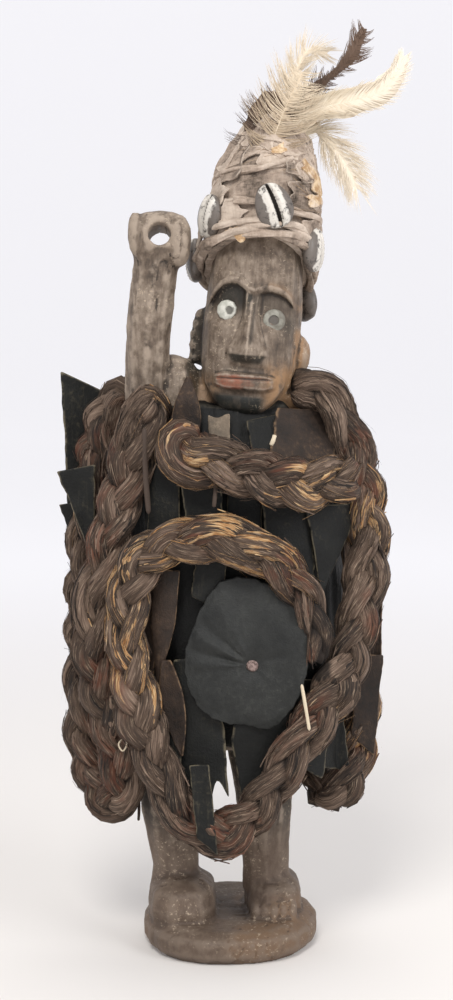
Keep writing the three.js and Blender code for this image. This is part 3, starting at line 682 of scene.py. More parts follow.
@dataclass(frozen=True)
class PlaitedFibre:
    """Old raffia: long dry fibres, mauve-brown with rust, gold and straw where the skin has split."""

    dark: Colour = srgb(22, 16, 12)
    body: Colour = srgb(76, 60, 48)
    mauve: Colour = srgb(128, 108, 93)
    rust: Colour = srgb(102, 50, 28)
    gold: Colour = srgb(152, 102, 54)
    straw: Colour = srgb(206, 174, 128)
    dust: Colour = srgb(184, 164, 140)

    def build(self) -> Material:
        """Makes the material, which reads the marks tone, straw and hollow and the map along each strand."""
        s = Shading("plaited fibre")
        tone = s.attribute("tone")
        straw = s.attribute("straw")
        hollow = s.attribute("hollow")
        threads = s.grain(1.0, 3, 0.6, s.stretched(s.flat, (52, 2.6, 1)))
        fine = s.grain(1.0, 2, 0.6, s.stretched(s.flat, (170, 5, 1)))
        wide = s.grain(1.0, 3, 0.6, s.stretched(s.flat, (11, 1.7, 1)))
        body = s.ramp(
            threads * 0.34 + fine * 0.24 + tone * 0.2 + wide * 0.22,
            [(0.38, self.dark), (0.5, self.body), (0.62, self.mauve)],
        )
        rust = s.grain(26, 4).between(0.5, 0.66) * wide.between(0.42, 0.62)
        body = s.mix(rust * 0.62, body, self.rust)
        split = (straw * 0.42 + wide * 0.5 + threads * 0.4 + fine * 0.25).between(0.93, 1.02)
        body = s.mix(split * 0.9, body, s.mix(fine.between(0.42, 0.62), self.gold, self.straw))
        stray = (fine * 0.6 + threads * 0.4).between(0.55, 0.66)
        body = s.mix(stray * 0.6, body, self.dust)
        # Painted shade: darker deep between the strands.
        body = s.mix(hollow.between(0.15, 0.95) * 0.9, body, self.dark)
        relief = threads * 0.7 + fine * 0.35 + wide * 0.6
        return s.finish(body, 0.6 + threads * 0.3, s.relief(relief, 1.0 * MM), Specular_IOR_Level=0.35)


@dataclass(frozen=True)
class BarkCloth:
    """Layered bark cloth and skin scraps: taupe grey with tan patches."""

    dark: Colour = srgb(56, 48, 41)
    body: Colour = srgb(160, 143, 128)
    pale: Colour = srgb(206, 191, 175)
    tan: Colour = srgb(212, 188, 154)
    skin: Colour = srgb(164, 130, 92)

    def build(self) -> Material:
        """Makes the material, which reads the marks hollow, tone and edge."""
        s = Shading("bark cloth")
        level = s.grain(1.0, 3, 0.6, s.stretched(s.place, (260, 260, 1100)))
        threads = level * 0.5 + s.grain(1.0, 3, 0.6, s.stretched(s.place, (1000, 1000, 240))) * 0.5
        cloud = s.grain(60, 6, 0.65)
        tone = s.attribute("tone")
        mixed = cloud * 0.5 + threads * 0.28 + tone * 0.22
        body = s.ramp(mixed, [(0.32, self.dark), (0.46, self.body), (0.62, self.pale)])
        patch = tone.between(0.72, 0.8) * s.grain(130, 5, 0.7).between(0.34, 0.52)
        body = s.mix(patch * 0.95, body, s.mix(s.grain(280, 4, 0.7).between(0.38, 0.62), self.skin, self.tan))
        frayed = s.attribute("edge").between(0.6, 1.0) * s.grain(300, 3).between(0.35, 0.6)
        body = s.mix(frayed * 0.5, body, self.pale)
        # Painted shade: darker in the hollows between scraps, rolls and wrinkles.
        body = s.mix(s.attribute("hollow").between(0.05, 0.6) * 0.85, body, self.dark)
        relief = threads * 0.6 + s.grain(500, 4, 0.65) * 0.5
        return s.finish(body, 0.82 + threads * 0.12, s.relief(relief, 0.5 * MM), Specular_IOR_Level=0.25)


@dataclass(frozen=True)
class CowrieShell:
    """Weathered cowrie: chalky white lips, grey-brown shoulders, grime, and a slit and hollows darkened as
    painted shade.
    """

    white: Colour = srgb(206, 200, 190)
    grey: Colour = srgb(100, 92, 85)
    grime_and_shade: Colour = srgb(38, 33, 29)

    def build(self) -> Material:
        """Makes the material, which reads the marks hollow and shoulder."""
        s = Shading("cowrie shell")
        cloud = s.grain(240, 4, 0.6)
        shoulder = (s.attribute("shoulder") + (cloud - 0.5) * 1.6).between(0.38, 0.72)
        body = s.mix(shoulder, self.white, self.grey)
        grime = s.grain(380, 5, 0.72).between(0.5, 0.62) * s.grain(130, 3).between(0.36, 0.56)
        body = s.mix(grime * 0.85, body, self.grime_and_shade)
        # Painted shade in the slit and the hollows.
        body = s.mix(s.attribute("hollow").between(0.08, 0.5), body, self.grime_and_shade)
        return s.finish(body, 0.36 + cloud * 0.25, s.relief(s.grain(700, 4), 0.16 * MM), Coat_Weight=0.15)


@dataclass(frozen=True)
class Plume:
    """Feather barbs in one colour that fades along the feather."""

    name: str
    root: Colour
    tip: Colour
    fleck: Colour

    def build(self) -> Material:
        """Makes the material, which reads the marks tone and share."""
        s = Shading(self.name)
        share = s.attribute("share")
        body = s.mix((share + (s.attribute("tone") - 0.5) * 0.5).between(0.1, 0.9), self.root, self.tip)
        flecks = s.grain(420, 3, 0.6).between(0.62, 0.7)
        body = s.mix(flecks * 0.45, body, self.fleck)
        return s.finish(body, 0.7, None, Specular_IOR_Level=0.3)


@dataclass(frozen=True)
class WornIron:
    """Dull nail iron with a pinkish bloom."""

    body: Colour = srgb(150, 130, 124)
    dark: Colour = srgb(78, 62, 56)

    def build(self) -> Material:
        """Makes the material."""
        s = Shading("worn iron")
        cloud = s.grain(900, 4, 0.6)
        body = s.mix(cloud.between(0.4, 0.65), self.body, self.dark)
        return s.finish(body, 0.5 + cloud * 0.3, s.relief(s.grain(1400, 3), 0.14 * MM), Metallic=0.55)


@dataclass(frozen=True)
class PlainStage:
    """Plain pale floor that turns up into a wall all round and glows further out."""

    near: Colour = srgb(226, 222, 218)
    far: Colour = srgb(158, 158, 162)
    glow: Colour = srgb(211, 210, 212)

    def build(self) -> Material:
        """Makes the material."""
        s = Shading("stage")
        flat = s.stretched(s.place, (1, 1, 0))
        reach = Signal(s, s.node("ShaderNodeVectorMath", {"operation": "LENGTH"}, {0: flat}).outputs["Value"])
        away = reach.between(0.1, 1.5)
        glow = s.mix(away, (0.05, 0.048, 0.047, 1), self.glow)
        colour = s.mix(away, self.near, self.far)
        return s.finish(colour, 0.9, None, Emission_Color=glow, Emission_Strength=1.0, Specular_IOR_Level=0.1)


# Curved routes


class Route:
    """A smooth curve through points, measured along its own length."""

    def __init__(self, points: Sequence[Sequence[float]], steps: int = 24) -> None:
        """Builds a centripetal curve.

        Args:
            points: The places it goes through, in metres.
            steps: Samples between two of them.
        """
        knots = np.array(points, float)
        knots = np.vstack([2 * knots[0] - knots[1], knots, 2 * knots[-1] - knots[-2]])
        rows = []
        for i in range(len(knots) - 3):
            rows.append(self._span(knots[i : i + 4], steps))
        self.rows = np.vstack(rows + [knots[-2:-1]])
        steps_taken = np.linalg.norm(np.diff(self.rows, axis=0), axis=1)
        self.marks = np.concatenate([[0.0], np.cumsum(steps_taken)])
        self.length = float(self.marks[-1])

    @staticmethod
    def _span(four: Array, steps: int) -> Array:
        """Samples the curve between the middle two of four points.

        Args:
            four: The points, one row each.
            steps: Number of samples.

        Returns:
            One place for each sample.
        """
        gaps = np.sqrt(np.maximum(np.linalg.norm(np.diff(four, axis=0), axis=1), 1e-9))
        t = np.concatenate([[0.0], np.cumsum(gaps)])
        x = np.linspace(t[1], t[2], steps, endpoint=False)[:, None]

        def blend(a: Array, b: Array, low: float, high: float) -> Array:
            """Moves from a to b as x goes from low to high."""
            return a * (high - x) / (high - low) + b * (x - low) / (high - low)

        a1 = blend(four[0], four[1], t[0], t[1])
        a2 = blend(four[1], four[2], t[1], t[2])
        a3 = blend(four[2], four[3], t[2], t[3])
        return blend(blend(a1, a2, t[0], t[2]), blend(a2, a3, t[1], t[3]), t[1], t[2])

    def at(self, distance: Array) -> Array:
        """Places at distances along the curve, in metres."""
        return np.stack([np.interp(distance, self.marks, self.rows[:, k]) for k in range(3)], axis=1)

    def heading(self, distance: Array) -> Array:
        """Directions of travel at distances along the curve."""
        step = self.length / 400
        ahead = self.at(np.minimum(distance + step, self.length))
        behind = self.at(np.maximum(distance - step, 0))
        return unit(ahead - behind)


def tube(name: str, route: Callable[[Array], Frame], reach: Rule, sides: int, steps: int) -> Object:
    """A closed tube from a grid.

    Args:
        name: The piece's name.
        route: Takes shares along and gives centres and two cross directions.
        reach: Takes shares round and along and gives the two half widths, one row each.
        sides: Faces round.
        steps: Faces along.

    Returns:
        The tube, with a map that runs round it and along it.
    """

    def rule(around: Array, along: Array) -> Array:
        """Wraps the grid round the route and draws its ends to a point."""
        closed = np.sqrt(np.clip(np.minimum(along, 1 - along) * steps / 2.0, 0, 1))
        return round_about(route(along), around * 2 * math.pi, reach(around, along) * closed[:, None])

    return close_seams(warped_grid(name, sides, steps, rule))


def hair_mesh(name: str, hairs: Sequence[Hair]) -> Object:
    """Fine three-sided hairs as one piece.

    Args:
        name: The piece's name.
        hairs: For each hair its places, the direction of its flat side, its half width at the root,
            a number kept as the mark tone and one kept as the mark share.

    Returns:
        The piece, with the marks tone and share.
    """
    points, faces, tones, shares, ends = [], [], [], [], []
    start = 0
    for places, flat, half, tone, share in hairs:
        count = len(places)
        heading = unit(np.gradient(places, axis=0))
        side = unit(np.cross(heading, flat))
        up = np.cross(side, heading)
        taper = np.linspace(1.0, 0.12, count)[:, None] * half
        ring = [side, -0.5 * side + 0.35 * up, -0.5 * side - 0.35 * up]
        corners = np.stack([places + direction * taper for direction in ring], axis=1)
        points.append(corners.reshape(-1, 3))
        base = start + np.arange(count - 1)[:, None] * HAIR_SIDES
        for k in range(HAIR_SIDES):
            j = (k + 1) % HAIR_SIDES
            faces.append(np.hstack([base + k, base + j, base + j + HAIR_SIDES, base + k + HAIR_SIDES]))
        last = start + (count - 1) * HAIR_SIDES
        ends.append([start, start + 2, start + 1])
        ends.append([last, last + 1, last + 2])
        tones.append(np.full(count * HAIR_SIDES, tone))
        shares.append(np.full(count * HAIR_SIDES, share))
        start += count * HAIR_SIDES
    piece = face_outwards(mesh_piece(name, np.vstack(points), np.vstack(faces).tolist() + ends))
    mark(piece, "tone", np.concatenate(tones))
    mark(piece, "share", np.concatenate(shares))
    return piece


# The carving


@dataclass
class Head:
    """Sizes of the carved head, upright round its own centre line."""

    half_width: float = 23.6 * MM
    half_depth: float = 26 * MM
    height: float = 107 * MM
    chin: float = 268 * MM
    centre_x: float = 12 * MM
    centre_y: float = -2 * MM
    turn_deg: float = 6
    tilt_deg: float = 5

    def place(self) -> Matrix:
        """Takes the upright head to its place on the neck."""
        move = Matrix.Translation((self.centre_x, self.centre_y, self.chin + self.height / 2))
        tilt = Matrix.Rotation(math.radians(self.tilt_deg), 4, "Y")
        turn = Matrix.Rotation(-math.radians(self.turn_deg), 4, "Z")
        return move @ tilt @ turn @ Matrix.Translation((0, 0, -self.height / 2))


PROFILE_Z = (0, 5, 13, 27, 40, 53, 60, 67, 80, 92)
PROFILE_DEPTH = (16, 21, 24.6, 25.9, 25, 24.3, 24.8, 25, 23.6, 20)
BROW_X = (-22, -20, -17, -14, -10, -7, -4, -1, 1.5, 4, 7, 10, 14, 17, 19.5, 22)
BROW_Z = (54.5, 57.5, 62.2, 65.4, 66.9, 66.7, 64.9, 62.8, 62.0, 62.8, 63.7, 64.0, 63.2, 61.6, 59.2, 55.5)


@dataclass
class Carving:
    """The one block of wood: base, feet, legs, body, raised arm with its pierced fist, and the head."""

    head: Head = field(default_factory=Head)
    voxel: float = 1.2 * MM
    fist: Place = (-34 * MM, -18 * MM, 356.5 * MM)
    foot_right: Place = (22.5 * MM, 4 * MM, 21 * MM)

    def _ear(self) -> list[Object]:
        """The scallops of the left ear."""
        forms = []
        for height, reach in ((49, 25.6), (44.5, 26.6), (39.5, 27.4), (34, 27.8), (28.5, 27.2)):
            form = ball((0, 0, 0), (1, 1, 1), 20, 12)
            scale = Matrix.Diagonal((3.6 * MM, 5.5 * MM, 3.4 * MM, 1))
            place = Matrix.Translation((-reach * MM, 3.5 * MM, height * MM))
            form.data.transform(self.head.place() @ place @ scale)
            forms.append(form)
        return forms

    def _toes_and_knuckles(self) -> list[Object]:
        """Toes on the right foot and the fingers' rolls on the fist."""
        forms = []
        for toe in range(-2, 3):
            place = (self.foot_right[0] + toe * 4.6 * MM, -17 * MM + abs(toe) * 1.1 * MM, 18.6 * MM)
            forms.append(ball(place, (2.2 * MM, 4.6 * MM, 4.6 * MM)))
        x, y, z = self.fist
        for step, angle in enumerate((0.35, 0.95, 1.55)):
            place = (x - 12.2 * MM * math.cos(angle - 0.6), y + (step - 1) * 7.6 * MM, z + 2.5 * MM)
            forms.append(ball(place, (3.4 * MM, 4.0 * MM, 10.5 * MM)))
        return forms

    def _drill(self, piece: Object) -> None:
        """Bores the sloping hole through the fist.

        Args:
            piece: The carving.
        """
        deselect()
        slope = (math.pi / 2 - math.radians(12), 0, 0)
        bpy.ops.mesh.primitive_cylinder_add(
            vertices=40, radius=5.6 * MM, depth=60 * MM, location=self.fist, rotation=slope
        )
        bore = settle_place(bpy.context.object)
        modify(piece, "BOOLEAN", object=bore, operation="DIFFERENCE", solver="EXACT")
        bpy.data.objects.remove(bore)

    def _front(self, x: Array, z: Array) -> Array:
        """Where the front of the plain head lies, in its own millimetres."""
        return -np.interp(z, PROFILE_Z, PROFILE_DEPTH) * (1 - np.minimum(np.abs(x) / 24.2, 1) ** 2.5) ** 0.42

    def _nose(self, x: Array, z: Array) -> Array:
        """How far the nose stands out: a wedge with a sharp ridge, small wings and a sloping underside.

        Args:
            x: Across the face, in millimetres.
            z: Up the face, in millimetres.

        Returns:
            Its height over the plain front, in millimetres.
        """
        off = np.abs(x - 1.0)
        down = np.clip((58 - z) / 25.5, 0, 1)
        tall = 1.4 + 6.6 * down
        wide = 3.4 + 7.4 * down**1.7
        wedge = tall * np.clip(1 - off / wide, 0, 1) ** 0.85 * under(z, 61, 4)
        for side in (-1, 1):
            wedge = wedge + 2.1 * hump(x - 1.0, side * 8.6, 2.3) * hump(z, 34.2, 2.4)
        crease = 0.7 * hump(x, 2.3, 0.9) * over(z, 35, 3) * under(z, 59, 4)
        return (wedge - crease) * over(z, 26.0, 7.4)

    def _face(self, x: Array, z: Array) -> Array:
        """How far the face stands out from the plain head, in millimetres.

        Args:
            x: Distance to the right, in the head's own millimetres.
            z: Height over the chin.

        Returns:
            The distance of each place, less than 0 where it is sunk.
        """
        line = np.interp(x, BROW_X, BROW_Z)
        side = np.abs(x)
        off_nose = over(np.abs(x - 1.0), 2.4, 2.6)
        out = self._nose(x, z)
        out += 1.3 * hump(z, line + 1.7, 1.7) * under(side, 23, 2)
        deep = np.where(x < 0, 4.2, 3.2)
        out -= deep * under(z, line, 1.6) * over(z, 40, 17) * under(side, 22.5, 4) * off_nose
        out += 0.9 * hump(z, 40, 5.0) * hump(side, 16, 4.0)
        out -= 0.8 * hump(z, 25.3, 1.8) * under(side, 13, 4)
        corner = 1.6 * over(np.abs(x - 0.5), 9, 7)
        slab = under(z, 23.9 - corner, 1.8) * over(z, 14.0 + corner, 2.4) * under(np.abs(x - 0.5), 16.2, 3)
        out += slab * (2.8 - 0.75 * hump(z, 20.6 + 0.03 * x, 0.55) - 0.25 * np.abs(z - 18.5) / 4)
        out -= 1.2 * hump(z, 12.6, 1.5) * under(side, 13, 4)
        return out + 1.6 * hump(z, 6.5, 4.5) * hump(side, 0, 9)

    def build(self, finish: Material) -> Object:
        """Makes the whole carving.

        Args:
            finish: The wood.

        Returns:
            The piece.
        """
        piece = bpy.data.objects["figure"].copy()
        piece.data = piece.data.copy()
        piece.parent = None
        bpy.context.scene.collection.objects.link(piece)
        close_seams(piece, 0.02 * MM)
        piece = join([piece, *self._ear(), *self._toes_and_knuckles()], "carving")
        modify(piece, "REMESH", mode="VOXEL", voxel_size=self.voxel)
        modify(piece, "SMOOTH", factor=0.6, iterations=5)
        self._drill(piece)
        self._refine_face(piece)
        self._cut_surface(piece)
        return present(piece, finish, ["figure"], angle=80)

    def _refine_face(self, piece: Object) -> None:
        """Splits the faces of the front of the head once more.

        Args:
            piece: The carving.
        """
        inverse = self.head.place().inverted()

        def on_face(face: Any) -> bool:
            """Tells whether a face lies on the front of the head."""
            local = inverse @ face.center
            in_front = local.y < -0.008 and abs(local.x) < 0.029 and 0 < local.z < 0.082
            return face.center.z >= HEAD_FROM and in_front

        choose_faces(piece, on_face)
        bpy.ops.mesh.subdivide(number_cuts=1, smoothness=0.6)
        bpy.ops.object.mode_set(mode="OBJECT")

    def _cut_surface(self, piece: Object) -> None:
        """Adds the face's cuts, the round chin, the knife facets and the cracks.

        Args:
            piece: The carving.
        """
        points = coordinates(piece)
        facing = normals(piece)
        place = np.array(self.head.place())
        inverse = np.linalg.inv(place)
        local = (points @ inverse[:3, :3].T + inverse[:3, 3]) / MM
        local_normal = facing @ inverse[:3, :3].T
        is_head = (points[:, 2] > HEAD_FROM) & (np.abs(local[:, 0]) < 30) & (local[:, 2] > -2)
        x, y, z = local.T
        front = under(y, -11, 3) * under(local_normal[:, 1], 0.3, 0.3)
        front *= under(np.abs(x), 22.4, 3.4) * over(z, 0.5, 5) * under(z, 84, 8)
        target = self._front(x, z) - self._face(x, z)
        forwards = np.where(is_head, front * (y - target), 0) * MM
        points = points - place[:3, 1][None, :] * forwards[:, None]
        move_to(piece, points)
        chin_share = np.where(is_head, under(z, 17, 10), 0)[:, None]
        points = points + (softened(piece, 40) - points) * chin_share
        at = points / MM
        facets = np.abs(lumps(at * [1, 1, 0.7], 8.5, 3)) * 0.7
        facets += lumps(at, 4.0, 5) * 0.22 + lumps(at, 1.7, 8) * 0.1
        cracks = np.clip(1 - np.abs(lumps(at * [1, 1, 0.12], 6.0, 11)) * 16, 0, 1)
        cracks *= lumps(at, 22, 13) > 0.15
        calm = np.where(is_head & (y < -10), 0.3, 1.0)
        on_floor = over(at[:, 2], 0.2, 2.0)
        points += facing * ((facets * calm - cracks * 0.7 * calm) * on_floor * MM * 0.8)[:, None]
        points[:, 2] = np.maximum(points[:, 2], 0)
        points[coordinates(piece)[:, 2] < 0.6 * MM, 2] = 0
        move_to(piece, points)
        mark(piece, "hollow", np.clip(hollows(piece, 10) / (0.45 * MM), -1, 1))
        self._paint(piece, local, is_head)

    def _paint(self, piece: Object, local: Array, is_head: Array) -> None:
        """Marks where the wood is red or warm, and where it is darkened: near black as painted shade under
        the brow, under the nose, on the chin, along the right of the nose ridge, in the left ear and on the
        legs, near black in a patch by the right eye, and brown towards the bottom as painted shade.

        Args:
            piece: The cut carving.
            local: Each vertex in the head's own millimetres, before the cuts.
            is_head: Which vertices belong to the head.
        """
        x, y, z = local.T
        lips = under(z, 23.6, 2.2) * over(z, 13.8, 2.6) * under(np.abs(x - 0.5), 16, 4)
        mark(piece, "red", np.where(is_head & (y < -8), lips * (0.82 - 0.34 * over(x, -8, 16)), 0))
        line = np.interp(x, BROW_X, BROW_Z)
        # Near-black painted shade under the brow, under the nose, on the chin below the lips, along the right
        # of the nose ridge and in the left ear; a dark patch also lies by the right eye.
        under_brow = under(z, line, 1.5) * over(z, 47, 12) * under(y, -8, 5) * np.where(x < 1, 1.0, 0.5)
        chin = under(z, 13.5, 2.5) * under(y, -4, 8) * under(np.abs(x + 2), 15, 5)
        nose = under(z, 33, 1.2) * over(z, 27, 2.4) * under(y, -22, 3)
        nose *= 0.85 * smooth_step((10.8 - np.abs(x - 1) - (33 - z) * 0.6) / 2.4)
        ridge_shade = 0.5 * hump(x, 2.5, 1.1) * over(z, 36, 3) * under(z, 59, 3)
        ear = under(x, -22, 2) * 0.8
        right_eye_patch = 0.7 * hump(x, 19, 3) * hump(z, 48, 6)
        painted_shade = np.maximum.reduce([chin, under_brow * 0.9, nose, ridge_shade, ear, right_eye_patch])
        jaw = over(x, 6, 10) * under(z, 34, 12)
        jaw = np.maximum(jaw, 0.6 * under(x, -8, 8) * under(z, 24, 8))
        knob = over(x, 21, 2) * under(z, 48, 4)
        brow_edge = 0.5 * hump(z, line + 1.5, 2.5) * over(x, 2, 6)
        points = coordinates(piece) / MM
        height = points[:, 2]
        # Darker brown towards the bottom of the body, less on the legs: painted shade.
        low = under(height, 215, 25)
        # Near-black painted shade on the legs.
        legs = 0.85 * over(height, 46, 24) * low
        base = 0.9 * under(height, 30, 8) * smooth_step(lumps(points, 22, 19) * 2 + 0.3)
        mark(piece, "painted_shade", np.where(is_head, painted_shade, legs))
        mark(piece, "low", np.where(is_head, 0, 0.7 * low - 0.62 * legs))
        mark(piece, "warm", np.where(is_head, np.maximum.reduce([jaw, knob, brow_edge]), base))


@dataclass
class Eye:
    """One inlaid eye: its place in the head's own millimetres, its size and its colours."""

    node: str
    x: float
    z: float
    radius: float
    sides: int
    pupil: float
    shift: float
    white: Colour
    ring: Colour
    dark: Colour
    turn: float
    sunk: float = -20.0
    depth: float = 2.6

    def build(self, head: Head) -> Object:
        """Makes the eye.

        Args:
            head: The head that it is let into.

        Returns:
            The piece.
        """
        deselect()
        bpy.ops.mesh.primitive_cylinder_add(
            vertices=self.sides, radius=self.radius * MM, depth=self.depth * MM
        )
        piece = bpy.context.object
        piece.name = self.node + "_inlay"
        self._drill(piece)
        local = Vector((self.x * MM, self.sunk * MM, self.z * MM))
        lie = Matrix.Rotation(self.turn, 4, "Z") @ Matrix.Rotation(math.pi / 2, 4, "X")
        piece.data.transform(head.place() @ Matrix.Translation(local) @ lie)
        centre = head.place() @ (local + Vector((self.shift * MM, 0, 0)))
        look = EyeInlay(self.node, self.white, self.ring, self.dark, tuple(centre), self.pupil * MM)
        return present(piece, look.build(), [self.node], angle=30)

    def _drill(self, piece: Object) -> None:
        """Insets the front face, sinks it for the pupil and moves the pupil sideways.

        Args:
            piece: The eye, facing up.
        """
        choose_faces(piece, lambda face: face.normal.z > 0.9)
        bpy.ops.mesh.inset(thickness=0.7 * MM, depth=0.5 * MM)
        bpy.ops.mesh.inset(thickness=(self.radius - 0.7 - self.pupil) * MM, depth=0.2 * MM)
        bpy.ops.transform.translate(value=(self.shift * MM, 0, 0))
        bpy.ops.mesh.inset(thickness=0.25 * MM, depth=-0.7 * MM)
        bpy.ops.object.mode_set(mode="OBJECT")
        modify(piece, "BEVEL", width=0.12 * MM, segments=1, limit_method="ANGLE")


def eyes() -> list[Eye]:
    """The pale faceted left eye and the dull round right one."""
    pale, dull = srgb(208, 206, 196), srgb(140, 138, 127)
    return [
        Eye("eye_left", -11.2, 53.0, 4.9, 10, 2.2, 1.4, pale, srgb(166, 166, 154), srgb(104, 102, 94), -0.22),
        Eye("eye_right", 12.0, 49.9, 5.5, 24, 2.6, -0.2, dull, srgb(102, 97, 86), srgb(86, 80, 73), 0.22),
    ]


# The cap and what it carries


@dataclass
class CapShape:
    """The cap's outline, from brim (0) to top (1)."""

    half_width: float = 27.5 * MM
    half_depth: float = 30 * MM
    brim: float = 340.76 * MM
    height: float = 77 * MM
    brim_rise: float = 18 * MM
    shares: tuple[float, ...] = (0.96, 1, 0.99, 0.93, 0.82, 0.62, 0.3)

    def share(self, t: float | Array) -> Array:
        """Width at a share of the height, as a share of the full width."""
        return np.interp(t, np.linspace(0, 1, len(self.shares)), self.shares)

    def centre(self, t: Array) -> Array:
        """Middle of the cap at a share of its height."""
        return np.stack([(13 + 9 * t) * MM, (-2 + 3 * t) * MM, self.brim + self.height * t], axis=1)

    def surface(self, t: Array, angle: Array, out: Array | float = 0.0) -> Array:
        """Place on the cap.

        Args:
            t: Share of the height.
            angle: Way round, in radians from +X seen from above.
            out: Distance off the surface, in metres.

        Returns:
            One row for each place.
        """
        share = self.share(t)
        lump = 1 + 0.03 * np.sin(4 * angle + 9 * t) + 0.02 * np.sin(7 * angle - 5 * t)
        place = self.centre(t)
        place[:, 0] += (self.half_width * share * lump + out) * np.cos(angle)
        place[:, 1] += (self.half_depth * share * lump + out) * np.sin(angle)
        place[:, 2] += self.brim_rise * -np.sin(angle) * (1 - np.clip(t, 0, 1)) ** 2
        return place


TAN_SCRAPS = (
    (-40, 0.66, 5, 3), (-24, 0.56, 5, 6), (-32, 0.42, 5.5, 3),
    (-112, 0.02, 6.5, 3.4), (95, 0.5, 6, 5), (-80, 0.8, 3, 2.2),
)


@dataclass(frozen=True)
class Band:
    """A rolled band: its angles in degrees, its shares of the height, its radius and its tone."""

    index: int
    start: float
    end: float
    low: float
    high: float
    radius: float
    tone: float

    def place(self, shape: CapShape, share: Array, out: float = 0.0) -> Array:
        """Places along the band's middle, a distance off the cap."""
        angle = np.radians(self.start + (self.end - self.start) * share)
        level = self.low + (self.high - self.low) * share + 0.02 * np.sin(9 * share + self.index)
        return shape.surface(level, angle, out)

    def heading(self, shape: CapShape, share: Array) -> Array:
        """Directions along the band."""
        ahead, behind = np.clip(share + 0.005, 0, 1), np.clip(share - 0.005, 0, 1)
        return unit(self.place(shape, ahead) - self.place(shape, behind))


